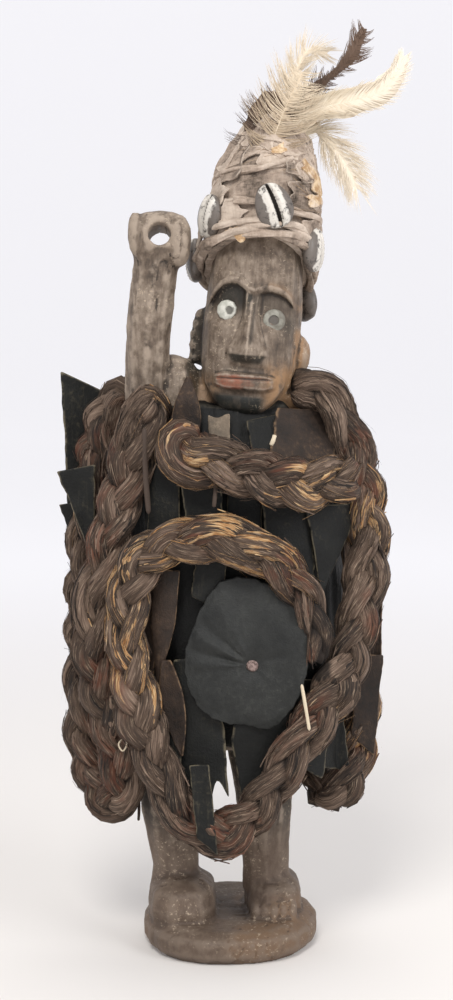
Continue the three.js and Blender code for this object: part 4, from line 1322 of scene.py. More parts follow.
@dataclass
class Cap:
    """Cap of bark cloth: a wrinkled core, scraps laid over each other, rolled bands and thread."""

    shape: CapShape
    scraps: int = 54
    seed: int = 4

    def build(self, finish: Material) -> Object:
        """Makes the cap as one piece.

        Args:
            finish: The bark cloth.

        Returns:
            The piece.
        """
        piece = join([self._core(), *self._scraps(), *self._rolls(), *self._threads()], "cap_cloth")
        mark(piece, "hollow", np.clip(hollows(piece, 5) / (0.5 * MM), -1, 1))
        return present(piece, finish, ["cap"], angle=60)

    def _core(self) -> Object:
        """The wrinkled crown, closed under the brim and at the top."""

        def rule(u: Array, v: Array) -> Array:
            """Goes out under the brim, up the side and in over the top."""
            angle = u * 2 * math.pi
            t = np.clip((v - 0.06) / 0.9, 0, 1)
            inwards = np.minimum(v / 0.06, 1) * np.clip((1 - v) / 0.04, 0, 1)
            base = self.shape.surface(t, angle)
            at = base / MM
            crease = 1 - np.abs(lumps(at * [1, 1, 0.45], 5.5, 2)) * 2
            wrinkle = crease * 0.7 + lumps(at, 3.2, 4) * 0.5 + lumps(at, 9, 6) * 1.0
            place = self.shape.surface(t, angle, (wrinkle - 0.9) * MM)
            middle = self.shape.centre(t)
            middle[:, 2] = place[:, 2] + 1.5 * MM * np.sign(v - 0.5)
            return middle + (place - middle) * inwards[:, None]

        core = close_seams(warped_grid("core", 150, 90, rule))
        points = coordinates(core)
        mark(core, "tone", 0.35 + 0.2 * lumps(points / MM, 12, 3))
        mark(core, "edge", np.zeros(len(points)))
        return core

    def _scraps(self) -> list[Object]:
        """Ragged scraps, each with its own turn, size and lifted edge."""
        rng = random.Random(self.seed)
        made = []
        for index in range(self.scraps):
            level = rng.random() ** 0.8
            angle0 = rng.uniform(0, 2 * math.pi)
            wide, tall = rng.uniform(6, 14), rng.uniform(5, 11)
            turn = rng.uniform(-0.7, 0.7)
            lift = rng.uniform(0.2, 1.3)
            tone = rng.random() * 0.68
            seed, cup = index, 1.0
            if index < len(TAN_SCRAPS):
                angle0, level, wide, tall = TAN_SCRAPS[index]
                angle0, lift, tone, cup = math.radians(angle0), 2.1, 0.95, 0.08

            def rule(u: Array, v: Array) -> Array:
                """Lays one scrap on the cap."""
                a, b = u * 2 - 1, v * 2 - 1
                edge = np.maximum(np.abs(a), np.abs(b))
                way = np.arctan2(b, a)
                ragged = 1 + 0.16 * np.sin(3 * way + seed) + 0.1 * np.sin(5 * way + 2 * seed)
                ragged += 0.05 * np.sin(11 * way)
                x = a * wide * ragged
                y = b * tall * ragged
                along = x * math.cos(turn) - y * math.sin(turn)
                up = x * math.sin(turn) + y * math.cos(turn)
                t = np.clip(0.02 + 0.9 * level + up * MM / self.shape.height, -0.05, 0.99)
                radius = self.shape.half_width * self.shape.share(0.9 * level)
                angle = angle0 + along * MM / max(radius, 8 * MM)
                fold = 1 - 2 * np.abs(lumps(columns(x, y * 0.5, seed * 3.7), 5.5, 9))
                out = 0.5 + lift * (1 - cup * 0.5) + (lift * edge**3 * 0.9 + fold * 0.55) * cup
                return self.shape.surface(t, angle, out * MM)

            squares = 12
            scrap = warped_grid(f"scrap_{index}", squares, squares, rule)
            row, column = np.divmod(np.arange((squares + 1) ** 2), squares + 1)
            rim = (row % squares == 0) | (column % squares == 0)
            mark(scrap, "edge", rim.astype(float))
            mark(scrap, "tone", np.full(len(rim), tone))
            modify(scrap, "SOLIDIFY", thickness=0.7 * MM, offset=0)
            made.append(scrap)
        return made

    def _rolls(self) -> list[Object]:
        """Rolled and twisted bands over the forehead and round the brim."""
        bands = [
            (-205, 25, 0.03, 0.05, 2.7, 0.3),
            (-150, -20, 0.16, 0.1, 2.3, 0.5),
            (-120, 60, 0.34, 0.2, 1.9, 0.42),
            (-30, 200, 0.0, 0.06, 2.6, 0.28),
            (-230, -60, 0.5, 0.66, 1.7, 0.55),
        ]
        made = []
        for index, sizes in enumerate(bands):
            for strand in range(2):
                made.append(self._roll(Band(index, *sizes), strand))
        return made

    def _roll(self, band: Band, strand: int) -> Object:
        """One of the two rolls of a twisted band.

        Args:
            band: The band.
            strand: 0 or 1.

        Returns:
            The roll.
        """
        sweep = abs(band.end - band.start)
        turns = sweep / 110

        def route(v: Array) -> Frame:
            """Winds the roll round the band's middle."""
            middle = band.place(self.shape, v, band.radius * 0.7 * MM)
            outer = band.place(self.shape, v, (band.radius * 0.7 + 5) * MM)
            out = unit(outer - middle)
            across = unit(np.cross(band.heading(self.shape, v), out))
            phase = 2 * math.pi * turns * v + strand * math.pi
            half = np.full((len(v), 2), band.radius * 0.5 * MM)
            return round_about((middle, across, out), phase, half), across, out

        def reach(u: Array, v: Array) -> Array:
            """Folded outline of the roll."""
            turn = u * 2 * math.pi
            rows = columns(np.cos(turn) * 3, np.sin(turn) * 3, v * turns * 11 + band.index * 5)
            folds = lumps(rows, 1.6, strand + 3) + 0.6 * lumps(rows, 4.0, strand + 5)
            size = band.radius * 0.68 * (1 + 0.34 * folds) * MM
            return columns(size, size)

        roll = tube(f"roll_{band.index}_{strand}", route, reach, 16, int(sweep * 0.9))
        count = len(roll.data.vertices)
        mark(roll, "tone", np.full(count, band.tone))
        mark(roll, "edge", np.zeros(count))
        return roll

    def _threads(self) -> list[Object]:
        """Fine threads that bind the scraps."""
        rng = random.Random(self.seed + 1)
        hairs = []
        for _ in range(60):
            angle = rng.uniform(0, 2 * math.pi) + np.linspace(0, rng.uniform(0.4, 2.4), 26)
            t = rng.uniform(0.0, 0.9) + rng.uniform(-0.12, 0.12) * np.linspace(-1, 1, 26)
            wave = lumps(columns(angle * 4, t * 30, 0), 1.0, 7)
            places = self.shape.surface(np.clip(t, 0, 0.97), angle, (1.9 + wave * 0.8) * MM)
            hairs.append((places, np.array([0.0, 0.0, 1.0]), 0.28 * MM, rng.uniform(0.3, 1.0), 0.5))
        threads = hair_mesh("threads", hairs)
        mark(threads, "edge", np.zeros(len(threads.data.vertices)))
        return [threads]


@dataclass
class Cowries:
    """The shells round the cap: way round in degrees, share of the height, tilt in degrees."""

    shape: CapShape
    length: float = 22 * MM
    width: float = 18 * MM
    depth: float = 10 * MM
    spots: dict[str, Place] = field(
        default_factory=lambda: {
            "front": (-80, 0.285, -21),
            "front_left": (-149, 0.28, 18),
            "side_left": (172, 0.1, -8),
            "back_left": (122, 0.08, 6),
            "side_right": (-20, 0.07, 4),
            "back_right": (34, -0.05, 22),
            "back": (84, 0.06, -6),
        }
    )

    def _shell(self) -> Object:
        """One shell with its long axis up and its slit to the front."""
        deselect()
        bpy.ops.mesh.primitive_uv_sphere_add(segments=72, ring_count=44, radius=1.0)
        shell = bpy.context.object
        x, y, z = coordinates(shell).T
        taper = 1 - 0.13 * z
        wide = signed_power(x, 0.9) * self.width / 2 * taper
        deep = np.where(y < 0, y * 0.82, y) * self.depth / 2
        tall = signed_power(z, 0.94) * self.length / 2
        bow = 0.7 * MM * (1 - z**2)
        off = np.abs(wide - bow * 0.6)
        front = smooth_step(-y / 0.35)
        slit = hump(off, 0, 0.95 * MM) * (1 - z**8) * 3.4 * MM
        teeth = 0.42 * MM * np.sin(tall / MM * 2 * math.pi / 1.55) * hump(off, 1.9 * MM, 1.1 * MM)
        lips = -0.7 * MM * hump(off, 2.6 * MM, 1.6 * MM)
        deep = deep + front * (slit + teeth * (1 - z**6) + lips)
        move_to(shell, columns(wide, deep, tall))
        sunk = np.clip(hollows(shell, 6) / (0.5 * MM), -1, 1)
        # Hollows and the slit, which the shell's material darkens as painted shade.
        mark(shell, "hollow", sunk + front * np.clip(1 - off / (0.9 * MM), 0, 1))
        mark(shell, "shoulder", smooth_step((off / MM - 2.6) / 4.5) * front + (1 - front))
        return shell

    def build(self, finish: Material) -> list[Object]:
        """Makes every shell from one.

        Args:
            finish: The shell's material.

        Returns:
            The pieces.
        """
        first = self._shell()
        made = []
        for name, (angle, share, tilt) in self.spots.items():
            piece = first.copy()
            piece.data = first.data.copy()
            piece.name = f"shell_{name}"
            bpy.context.scene.collection.objects.link(piece)
            turn = math.radians(angle)
            out = self.depth * 0.32
            spot = self.shape.surface(np.array([max(0.0, share)]), np.array([turn]), out)[0]
            spot[2] += min(0.0, share) * self.shape.height
            tilted = Matrix.Rotation(math.radians(tilt), 4, "Y")
            faced = Matrix.Rotation(turn + math.pi / 2, 4, "Z")
            piece.data.transform(Matrix.Translation(spot) @ faced @ tilted)
            made.append(present(piece, finish, [f"cowrie_{name}"], angle=70))
        bpy.data.objects.remove(first)
        return made


class Vane(Enum):
    """How a feather's vane looks."""

    FULL = "full"
    SPLIT = "split"
    DOWNY = "downy"


@dataclass
class Feather:
    """One feather: its route from quill to tip, off the middle of the cap's top, in millimetres."""

    name: str
    route: list[Place]
    width: float
    face: float
    vane: Vane
    barbs: int
    seed: int
    tufts: int = 20
    waist: float = 0
    stem: float = 0.7
    open: float = 52
    web: float = 0

    def build(self, top: Array, finish: Material, slot: str) -> Object:
        """Makes the feather.

        Args:
            top: Middle of the cap's top.
            finish: The plume's material.
            slot: Not used.

        Returns:
            The piece.
        """
        rng = random.Random(self.seed)
        route = Route([top + np.array(p) * MM for p in self.route])
        stem_marks = np.linspace(0, route.length * 0.96, 26)
        hairs = [(route.at(stem_marks), self._facing(), self.stem * MM, 1.0, 0.7)]
        if self.vane is Vane.SPLIT:
            for index in range(self.tufts):
                hairs.extend(self._tuft(rng, route, index))
        else:
            hairs.extend(self._barb(rng, route, index) for index in range(self.barbs))
        pieces = [hair_mesh(self.name + "_barbs", hairs)]
        if self.web:
            pieces.append(self._web(route))
        return present(join(pieces, self.name + "_plume"), finish, [self.name], angle=60)

    def _facing(self) -> Array:
        """The way that the flat side looks."""
        return np.array([math.cos(math.radians(self.face)), math.sin(math.radians(self.face)), 0.0])

    def _stem(self, route: Route, t: float) -> tuple[Array, Array, Array, Array]:
        """Place, heading, cross direction and upper side at a share of the stem."""
        heading = route.heading(np.array([t * route.length]))[0]
        across = unit(np.cross(heading, self._facing())[None, :])[0]
        return route.at(np.array([t * route.length]))[0], heading, across, np.cross(across, heading)

    def _spread(self, t: float) -> float:
        """Share of the full width at a share of the stem."""
        waist = 1 - self.waist * math.exp(-(((t - 0.6) / 0.14) ** 2))
        return max(0.14, math.sin(math.pi * min(1, 0.1 + 0.84 * t)) ** 0.6) * waist

    def _tuft(self, rng: random.Random, route: Route, index: int) -> list[Hair]:
        """Barbs that cling together into one pointed tuft.

        Args:
            rng: Source of the tuft's own differences.
            route: The feather's stem.
            index: Which tuft.

        Returns:
            The hairs, as hair_mesh takes them.
        """
        side = 1 if index % 2 else -1
        t = min(0.97, 0.12 + 0.86 * (index // 2 + rng.uniform(0.25, 0.75)) / (self.tufts / 2))
        start, heading, across, normal = self._stem(route, t)
        angle = math.radians(rng.uniform(self.open, self.open + 24) - 14 * t)
        way = across * side * math.sin(angle) + heading * math.cos(angle)
        reach = self.width / 2 * self._spread(t) * rng.uniform(0.85, 1.3) * MM / math.sin(max(angle, 0.5))
        lift = normal * reach * rng.uniform(-0.12, 0.22)
        tip = start + way * reach + heading * reach * rng.uniform(-0.05, 0.3) + lift
        hairs = []
        count = max(5, self.barbs // self.tufts)
        for k in range(count):
            place = (k + rng.random()) / count - 0.5
            root = route.at(np.array([np.clip(t + 0.07 * place, 0, 0.99) * route.length]))[0]
            end = tip + (heading * rng.uniform(-1, 1) * 0.1 - way * rng.uniform(0, 0.3)) * reach
            end = end + normal * rng.uniform(-0.5, 0.5) * MM
            s = np.linspace(0, 1, 7)[:, None]
            bow = heading * reach * (0.16 * place - 0.12) + normal * reach * 0.1
            places = root + (end - root) * s + bow * 4 * s * (1 - s)
            hairs.append((places, normal, rng.uniform(0.22, 0.4) * MM, 0.2 + 0.7 * rng.random(), t))
        return hairs

    def _web(self, route: Route) -> Object:
        """The closed vane under the barbs of a full feather.

        Args:
            route: The feather's stem.

        Returns:
            The vane.
        """

        def rule(u: Array, v: Array) -> Array:
            """Sets the vane out from the stem, slanting forwards, with a nicked edge."""
            share = 0.1 + 0.9 * v
            a = u * 2 - 1
            heading = route.heading(share * route.length)
            across = unit(np.cross(heading, self._facing()))
            normal = np.cross(across, heading)
            nicks = 1 + 0.16 * lumps(columns(v * 40, np.sign(a) * 5, self.seed), 2.2, 3)
            spread = np.array([self._spread(float(one)) for one in share])
            out = a * self.width / 2 * self.web * spread * nicks * MM
            place = route.at(share * route.length) + across * out[:, None]
            place += heading * (np.abs(out) * 0.5)[:, None]
            return place - normal * (a**2 * 1.2 * MM + 0.3 * MM)[:, None]

        across, along = 12, 60
        web = warped_grid(self.name + "_web", across, along, rule)
        mark(web, "tone", 0.5 + 0.4 * lumps(coordinates(web) / MM, 2.5, self.seed))
        mark(web, "share", np.repeat(np.linspace(0, 1, along + 1), across + 1))
        return modify(web, "SOLIDIFY", thickness=0.25 * MM, offset=0)

    def _barb(self, rng: random.Random, route: Route, index: int) -> Hair:
        """One free barb of a full or downy vane.

        Args:
            rng: Source of the barb's own differences.
            route: The feather's stem.
            index: Which barb.

        Returns:
            The hair, as hair_mesh takes it.
        """
        side = 1 if index % 2 else -1
        t = 0.06 + 0.94 * (index + rng.random()) / self.barbs
        start, heading, across, normal = self._stem(route, t)
        loose = 0.25 if self.vane is Vane.FULL else 1.0
        clump = math.sin(t * 37 + side * 2 + self.seed) + 0.6 * math.sin(t * 83 + self.seed)
        angle = math.radians(46 + 14 * loose * clump + rng.uniform(-8, 8) * (0.5 + loose))
        reach = self.width / 2 * self._spread(t) * (1 + 0.2 * loose * clump)
        reach *= rng.uniform(0.8, 1.12) * MM / math.sin(angle)
        reach = min(max(reach, 2 * MM), self.width * 0.72 * MM)
        s = np.linspace(0, 1, 7)[:, None]
        bend = 0.35 + 0.3 * loose * rng.random()
        way = across * side * math.sin(angle) + heading * math.cos(angle)
        curl = normal * reach * (rng.uniform(-0.18, 0.18) * (0.4 + loose) - 0.05)
        places = start + way * reach * s + (heading * reach * bend + curl) * s**2
        if self.vane is Vane.DOWNY:
            places += normal * reach * 0.16 * np.sin(s * 5 + rng.uniform(0, 6)) * s
        half = (0.42 if self.vane is Vane.FULL else 0.24) * MM
        return places, normal, half * rng.uniform(0.7, 1.2), rng.random(), t


# The bundle, its hide blades and the pouch


@dataclass
class BundleShape:
    """Outline of the wrapped bundle, a squared oval that narrows at the top."""

    half_width: float = 57 * MM
    half_depth: float = 37 * MM
    bottom: float = 104 * MM
    top: float = 276 * MM
    squareness: float = 2.6
    shares: tuple[float, ...] = (0.86, 0.95, 1, 1, 0.98, 0.92, 0.58)

    def size(self, height: Array) -> tuple[Array, Array]:
        """Half width and half depth at a height."""
        t = np.clip((height - self.bottom) / (self.top - self.bottom), 0, 1)
        share = np.interp(t, np.linspace(0, 1, len(self.shares)), self.shares)
        return self.half_width * share, self.half_depth * share

    def over(self, x: Array, height: Array, lift: Array, side: int) -> Array:
        """Places over the bundle's front (side -1) or back (side 1).

        Args:
            x: Distance to the right.
            height: Height.
            lift: Distance off the surface.
            side: -1 for the front, 1 for the back.

        Returns:
            One row for each place.
        """
        wide, deep = self.size(height)
        n = self.squareness
        u = np.clip(x / wide, -0.985, 0.985)
        w = (1 - np.abs(u) ** n) ** (1 / n)
        normal = unit(columns(signed_power(u, n - 1) / wide, side * w ** (n - 1) / deep, 0))
        return columns(x, side * deep * w, height) + normal * lift[:, None]


@dataclass
class Bundle:
    """The layered hide and cloth under the blades, with pleats and a ragged hem."""

    shape: BundleShape

    def build(self, finish: Material) -> Object:
        """Makes the bundle.

        Args:
            finish: The hide.

        Returns:
            The piece.
        """

        def rule(u: Array, v: Array) -> Array:
            """Goes out under the hem, up the side and in over the shoulders."""
            angle = u * 2 * math.pi
            t = np.clip((v - 0.05) / 0.9, 0, 1)
            height = self.shape.bottom + (self.shape.top - self.shape.bottom) * t
            wide, deep = self.shape.size(height)
            power = 2 / self.shape.squareness
            x = wide * signed_power(np.cos(angle), power)
            y = deep * signed_power(np.sin(angle), power)
            at = columns(x, y, height * 0.12) / MM
            pleats = 1 - np.abs(lumps(at, 5.0, 21)) * 2.2
            fold = (pleats * 1.3 + lumps(columns(x, y, height) / MM, 14, 23) * 1.6 - 1.6) * MM
            scale = 1 + fold / np.hypot(wide, deep)
            inwards = np.minimum(v / 0.05, 1) * np.clip((1 - v) / 0.05, 0, 1)
            hem = np.where(t < 0.02, 3.5 * MM * (1 + lumps(at, 3.0, 25)), 0)
            top = np.where(t > 0.98, 3 * MM * lumps(at, 6.0, 27), 0)
            scale *= inwards
            return columns(x * scale, y * scale, height + hem * inwards + top - 0.2 * MM)

        piece = close_seams(warped_grid("bundle_hide", 220, 110, rule))
        mark(piece, "edge", np.clip(-hollows(piece, 4) / (0.4 * MM), 0, 1))
        return present(piece, finish, ["bundle"], angle=60)


class Cut(Enum):
    """How a blade's end is cut."""

    POINT = "point"
    WEDGE = "wedge"
    SQUARE = "square"
    SLANT = "slant"
    LEAF = "leaf"
    FORKED = "forked"

    def share(self, t: Array) -> Array:
        """Width at a share of the length, as a share of the full width.

        Args:
            t: Share of the blade's length, from its root.

        Returns:
            One share for each place.
        """
        if self is Cut.POINT:
            return np.where(t < 0.45, 1.0, np.maximum(0.05, 1 - (t - 0.45) / 0.55))
        if self is Cut.WEDGE:
            return np.maximum(0.05, 1 - 0.95 * t)
        if self is Cut.LEAF:
            return np.maximum(0.06, np.sin(np.pi * (0.12 + 0.86 * t)))
        if self is Cut.FORKED:
            return np.where(t < 0.5, 0.25 + 1.5 * t, 1 - 0.55 * (t - 0.5))
        return np.ones_like(t)


@dataclass
class Blade:
    """A strip of hide. One that lies has its root and tip as [x, height], one that stands as places."""

    name: str
    root: tuple[float, ...]
    tip: tuple[float, ...]
    width: float
    cut: Cut = Cut.POINT
    layer: float = 1
    flare: float = 0
    side: int = -1
    face: float = -90
    bow: float = 0
    tone: str = "dark"
    thickness: float = 1.3 * MM
    layer_step: float = 2.1

    def _outline(self, u: Array, v: Array, seed: int) -> tuple[Array, Array]:
        """Distance to the side, in millimetres, and share of the length, with a hand-cut edge.

        Args:
            u: Share of the width.
            v: Share of the length.
            seed: The blade's own differences.

        Returns:
            The two, one of each for each place.
        """
        a = u * 2 - 1
        rows = columns(v * 30, np.sign(a) * 5, seed * 1.7)
        ragged = 1 + 0.07 * lumps(rows, 2.6, 3) + 0.035 * lumps(rows, 0.9, 5)
        half = self.width / 2 * self.cut.share(v) * ragged
        share = v
        if self.cut is Cut.SLANT:
            share = v * (1 - 0.2 * u)
        if self.cut is Cut.SQUARE:
            share = v * (1 - 0.035 * np.sin(6 * u + seed))
        if self.cut is Cut.FORKED:
            share = v * (1 - 0.16 * np.abs(np.sin(2.6 * np.pi * u)) - 0.05 * (1 - u))
        return a * half, share

    def _lying(self, shape: BundleShape, seed: int) -> Rule:
        """Rule for a blade that lies over the bundle.

        Args:
            shape: The bundle that carries it.
            seed: The blade's own differences.

        Returns:
            The rule.
        """
        along = np.array([self.tip[0] - self.root[0], self.tip[1] - self.root[1]])
        across = np.array([along[1], -along[0]]) / np.hypot(*along)

        def rule(u: Array, v: Array) -> Array:
            """Lays the blade on the bundle."""
            off, share = self._outline(u, v, seed)
            a = u * 2 - 1
            x = self.root[0] + along[0] * share + across[0] * off
            height = self.root[1] + along[1] * share + across[1] * off
            wave = lumps(columns(x, height, seed * 9.1), 11, 2)
            curl = 0.9 * math.sin(seed * 2.3) * a**2 + 0.8 * wave
            lift = self.layer * self.layer_step + self.flare * share**2 + curl
            return shape.over(x * MM, height * MM, lift * MM, self.side)

        return rule

    def _standing(self, seed: int) -> Rule:
        """Rule for a blade that stands free.

        Args:
            seed: The blade's own differences.

        Returns:
            The rule.
        """
        start, end = np.array(self.root), np.array(self.tip)
        along = (end - start) / np.linalg.norm(end - start)
        facing = np.array([math.cos(math.radians(self.face)), math.sin(math.radians(self.face)), 0.0])
        across = np.cross(along, facing)
        across /= np.linalg.norm(across)
        normal = np.cross(across, along)

        def rule(u: Array, v: Array) -> Array:
            """Stands the blade up."""
            off, share = self._outline(u, v, seed)
            a = u * 2 - 1
            wave = lumps(columns(off, share * 60, seed * 5.3), 12, 4)
            out = self.bow * np.sin(np.pi * share) + 0.9 * wave + 1.0 * math.sin(seed * 1.9) * a**2
            place = start + (end - start) * share[:, None]
            return (place + across * off[:, None] + normal * out[:, None]) * MM

        return rule

    def build(self, shape: BundleShape, finish: Material, seed: int) -> Object:
        """Makes the blade.

        Args:
            shape: The bundle that carries it.
            finish: The hide.
            seed: The blade's own differences.

        Returns:
            The piece.
        """
        rule = self._lying(shape, seed) if len(self.root) == 2 else self._standing(seed)
        across, along = 10, 30
        piece = warped_grid(self.name.replace("blade", "hide"), across, along, rule)
        number = np.arange(len(piece.data.vertices))
        column, row = number % (across + 1), number // (across + 1)
        rim = (column == 0) | (column == across) | (row == along) | (row == 0)
        near = (column == 1) | (column == across - 1) | (row == along - 1) | (row == 1)
        mark(piece, "edge", np.where(rim, 1.0, np.where(near, 0.45, 0.0)))
        modify(piece, "SOLIDIFY", thickness=self.thickness, offset=0)
        modify(piece, "SUBSURF", levels=1, render_levels=1)
        close_seams(piece)
        return present(piece, finish, [self.name], angle=60)


def front_blades() -> list[Blade]:
    """Blades on the front, shoulders and sides, in millimetres."""
    return [
        Blade("blade_apron_long", (-13, 104), (-9, 59), 8, Cut.SLANT, 10, 1),
        Blade("blade_apron_left", (-22, 154), (-10, 78), 29, Cut.FORKED, 4, 2),
        Blade("blade_apron_fold", (-28, 154), (-21, 106), 10, Cut.LEAF, 5.6, 1.5, tone="brown"),
        Blade("blade_apron_edge", (-28, 140), (-21, 84), 7, Cut.POINT, 5.2, 4),
        Blade("blade_fork_left", (-28, 198), (-32, 140), 11, Cut.POINT, 4.6, tone="brown"),
        Blade("blade_fork_outer", (-38, 190), (-36, 126), 9, Cut.POINT, 3.4, tone="brown"),
        Blade("blade_over_pouch", (-8, 208), (-11, 178), 15, Cut.SLANT, 3.6),
        Blade("blade_apron_right", (20, 140), (7, 78), 28, Cut.POINT, 4.4, 3),
        Blade("blade_hip_right", (40, 142), (33, 92), 15, Cut.SLANT, 2.6, 3),
        Blade("blade_hip_outer", (46, 140), (49, 86), 15, Cut.SLANT, 1.6, 3),
        Blade("blade_side_right", (45, 228), (41, 186), 23, Cut.WEDGE, 3.8),
        Blade("blade_mid_right", (26, 238), (28, 186), 22, Cut.SQUARE, 2.4),
        Blade("blade_mid_centre", (8, 240), (6, 204), 17, Cut.SLANT, 1.4),
        Blade("blade_mid_left", (-14, 246), (-10, 206), 18, Cut.SLANT, 2.6),
        Blade("blade_chest_left", (-31, 264), (-31, 204), 15, Cut.SQUARE, 1.4),
        Blade("blade_breast_right", (35, 273), (31, 243), 28, Cut.SLANT, 3, tone="brown"),
        Blade("blade_collar_right", (15, 270), (21, 240), 15, Cut.SLANT, 1.4),
        Blade("blade_collar_left", (-4, 246), (-5, 271), 10, Cut.SQUARE, 3, tone="pale"),
        Blade("blade_shoulder_up", (-22, -32, 250), (-20, -30, 290), 15, Cut.LEAF, face=-85, tone="brown"),
        Blade("blade_left_tall", (-70, 17, 222), (-73, 15, 292), 26, Cut.SLANT, face=-80, bow=1),
        Blade("blade_left_flag", (-76, -10, 244), (-68, -14, 200), 20, Cut.WEDGE, face=-96),
        Blade("blade_left_low", (-80, 14, 224), (-76, 10, 196), 15, Cut.WEDGE, face=-92),
        Blade("blade_spike_left", (-45, -10, 104), (-46, -16, 66), 5, Cut.WEDGE, face=-60, tone="brown"),
        Blade("blade_right_back", (72, 6, 138), (77, 6, 178), 11, Cut.WEDGE, face=-75, tone="brown"),
        Blade("blade_right_low", (72, 0, 148), (67, -3, 96), 14, Cut.SLANT, face=-75, tone="brown"),
    ]


def back_blades() -> list[Blade]:
    """Two rows of plain points on the back, in millimetres."""
    made = []
    rows = [("blade_back_low", 4, 176, 1.4), ("blade_back_high", 3, 262, 2.6)]
    for name, count, top, layer in rows:
        for i in range(count):
            middle = i - (count - 1) / 2
            x = middle * (84 / count)
            tip = (x + middle * 4, top - 94 + 6 * (i % 2))
            lift = layer + 0.5 * (i % 2)
            made.append(Blade(f"{name}_{i + 1}", (x, top), tip, 78 / count, Cut.POINT, lift, 3, side=1))
    return made


LONG_CREASES = ((152, 1.15, 0.1), (166, -1.0, 0.08), (139, -0.7, 0.09), (178, 0.8, 0.1), (118, 0.5, 0.12))
SHORT_CREASES = ((60, 0.35, 0.14), (20, -0.3, 0.15), (-40, 0.3, 0.16), (-95, -0.35, 0.14), (-140, 0.3, 0.12))


@dataclass
class Pouch:
    """Round hide pouch, creased towards the nail that draws it in."""

    shape: BundleShape
    half_width: float = 30
    half_height: float = 37
    crown: float = 6.5
    rim: float = 2.4
    x: float = 7.5
    height: float = 157.5
    lift: float = 10
    nail: tuple[float, float] = (3.2, -5.6)
    outline: tuple[float, ...] = (
        1, 1.03, 1, 0.97, 1, 1.02, 0.94, 0.9, 0.97, 1.02, 1.03, 0.98, 0.94, 1.08, 1.04, 1.02,
    )

    def centre(self) -> Array:
        """Middle of the pouch, in metres."""
        x, height, lift = np.array([[self.x], [self.height], [self.lift]]) * MM
        return self.shape.over(x, height, lift, -1)[0]

    def _relief(self, x: Array, z: Array) -> Array:
        """Height of the front over the rim, in millimetres, with creases drawn to the nail.

        Args:
            x: To the right of the middle, in millimetres.
            z: Over the middle, in millimetres.

        Returns:
            One height for each place.
        """
        dx, dz = x - self.nail[0], z - self.nail[1]
        away = np.hypot(dx, dz)
        way = np.arctan2(dz, dx)
        total = -2.2 * hump(away, 0, 6.5) - 0.9 * hump(away, 0, 13)
        long_fade = over(away, 3, 8)
        short_fade = over(away, 2, 6) * under(away, 20, 10)
        for creases, fade in ((LONG_CREASES, long_fade), (SHORT_CREASES, short_fade)):
            for angle, size, narrow in creases:
                gap = np.angle(np.exp(1j * (way - math.radians(angle))))
                total = total + size * hump(gap, 0, narrow) * fade
        rows = columns(x, z, 0)
        return total + 0.55 * lumps(rows, 11, 31) + 0.22 * lumps(rows, 4.2, 33)

    def build(self, finish: Material) -> Object:
        """Makes the pouch.

        Args:
            finish: The pouch hide.

        Returns:
            The piece.
        """
        centre = self.centre()

        def rule(u: Array, v: Array) -> Array:
            """Goes out over the back, round the rim and in over the front."""
            angle = u * 2 * math.pi
            radius = np.where(v < 0.35, v / 0.35, np.where(v > 0.45, (1 - v) / 0.55, 1.0))
            table = np.array(self.outline + self.outline[:1])
            reach = np.interp(u * len(self.outline), np.arange(len(table)), table)
            ragged = 1 + 0.006 * np.sin(23 * angle) + 0.005 * np.sin(41 * angle + 1)
            x = radius * np.cos(angle) * self.half_width * reach * ragged
            z = radius * np.sin(angle) * self.half_height * reach * ragged
            crown = (1 - radius**2.6) * (self.crown * 0.62)
            front = self._relief(x, z) * under(radius, 1, 0.12) + crown + self.rim / 2
            back = -self.rim / 2 - crown * 0.55
            roll = np.where((v >= 0.35) & (v <= 0.45), (v - 0.4) / 0.05 * self.rim / 2, 0)
            out = np.where(v > 0.45, front, np.where(v < 0.35, back, roll))
            wave = 0.7 * np.sin(2 * angle + 1) * radius**3 + 0.35 * np.sin(5 * angle) * radius**4
            return centre + columns(x, -(out + wave), z) * MM

        piece = close_seams(warped_grid("pouch_pad", 200, 150, rule))
        points = coordinates(piece) - centre
        mark(piece, "edge", np.clip(-hollows(piece, 8) / (0.5 * MM), 0, 1))
        present(piece, finish, ["pouch"], angle=70)
        LOG.info("pouch is %.1f mm tall", np.ptp(points[:, 2]) / MM)
        return piece

    def build_nail(self, finish: Material) -> Object:
        """Makes the clout nail: a domed head over a tapering shank.

        Args:
            finish: The iron.

        Returns:
            The piece.
        """
        centre = self.centre() + np.array([self.nail[0] * MM, 0, self.nail[1] * MM])
        seat = centre[1] - 2.4 * MM
        middle = np.array([centre[0], seat, centre[2]])
        head = ball(middle, (3 * MM, 1.65 * MM, 3 * MM), 28, 14)
        points = coordinates(head)
        points += unit(points - middle) * (lumps(points / MM, 1.5, 3) * 0.16 * MM)[:, None]
        points[:, 1] = np.minimum(points[:, 1], seat + 0.2 * MM)
        move_to(head, points)
        deselect()
        bpy.ops.mesh.primitive_cone_add(
            vertices=12,
            radius1=1.1 * MM,
            radius2=0.2 * MM,
            depth=20 * MM,
            location=(centre[0], seat + 10 * MM, centre[2]),
            rotation=(-math.pi / 2, 0, 0),
        )
        shank = settle_place(bpy.context.object)
        return present(join([head, shank], "clout_nail"), finish, ["nail"], angle=50)


# The plaits


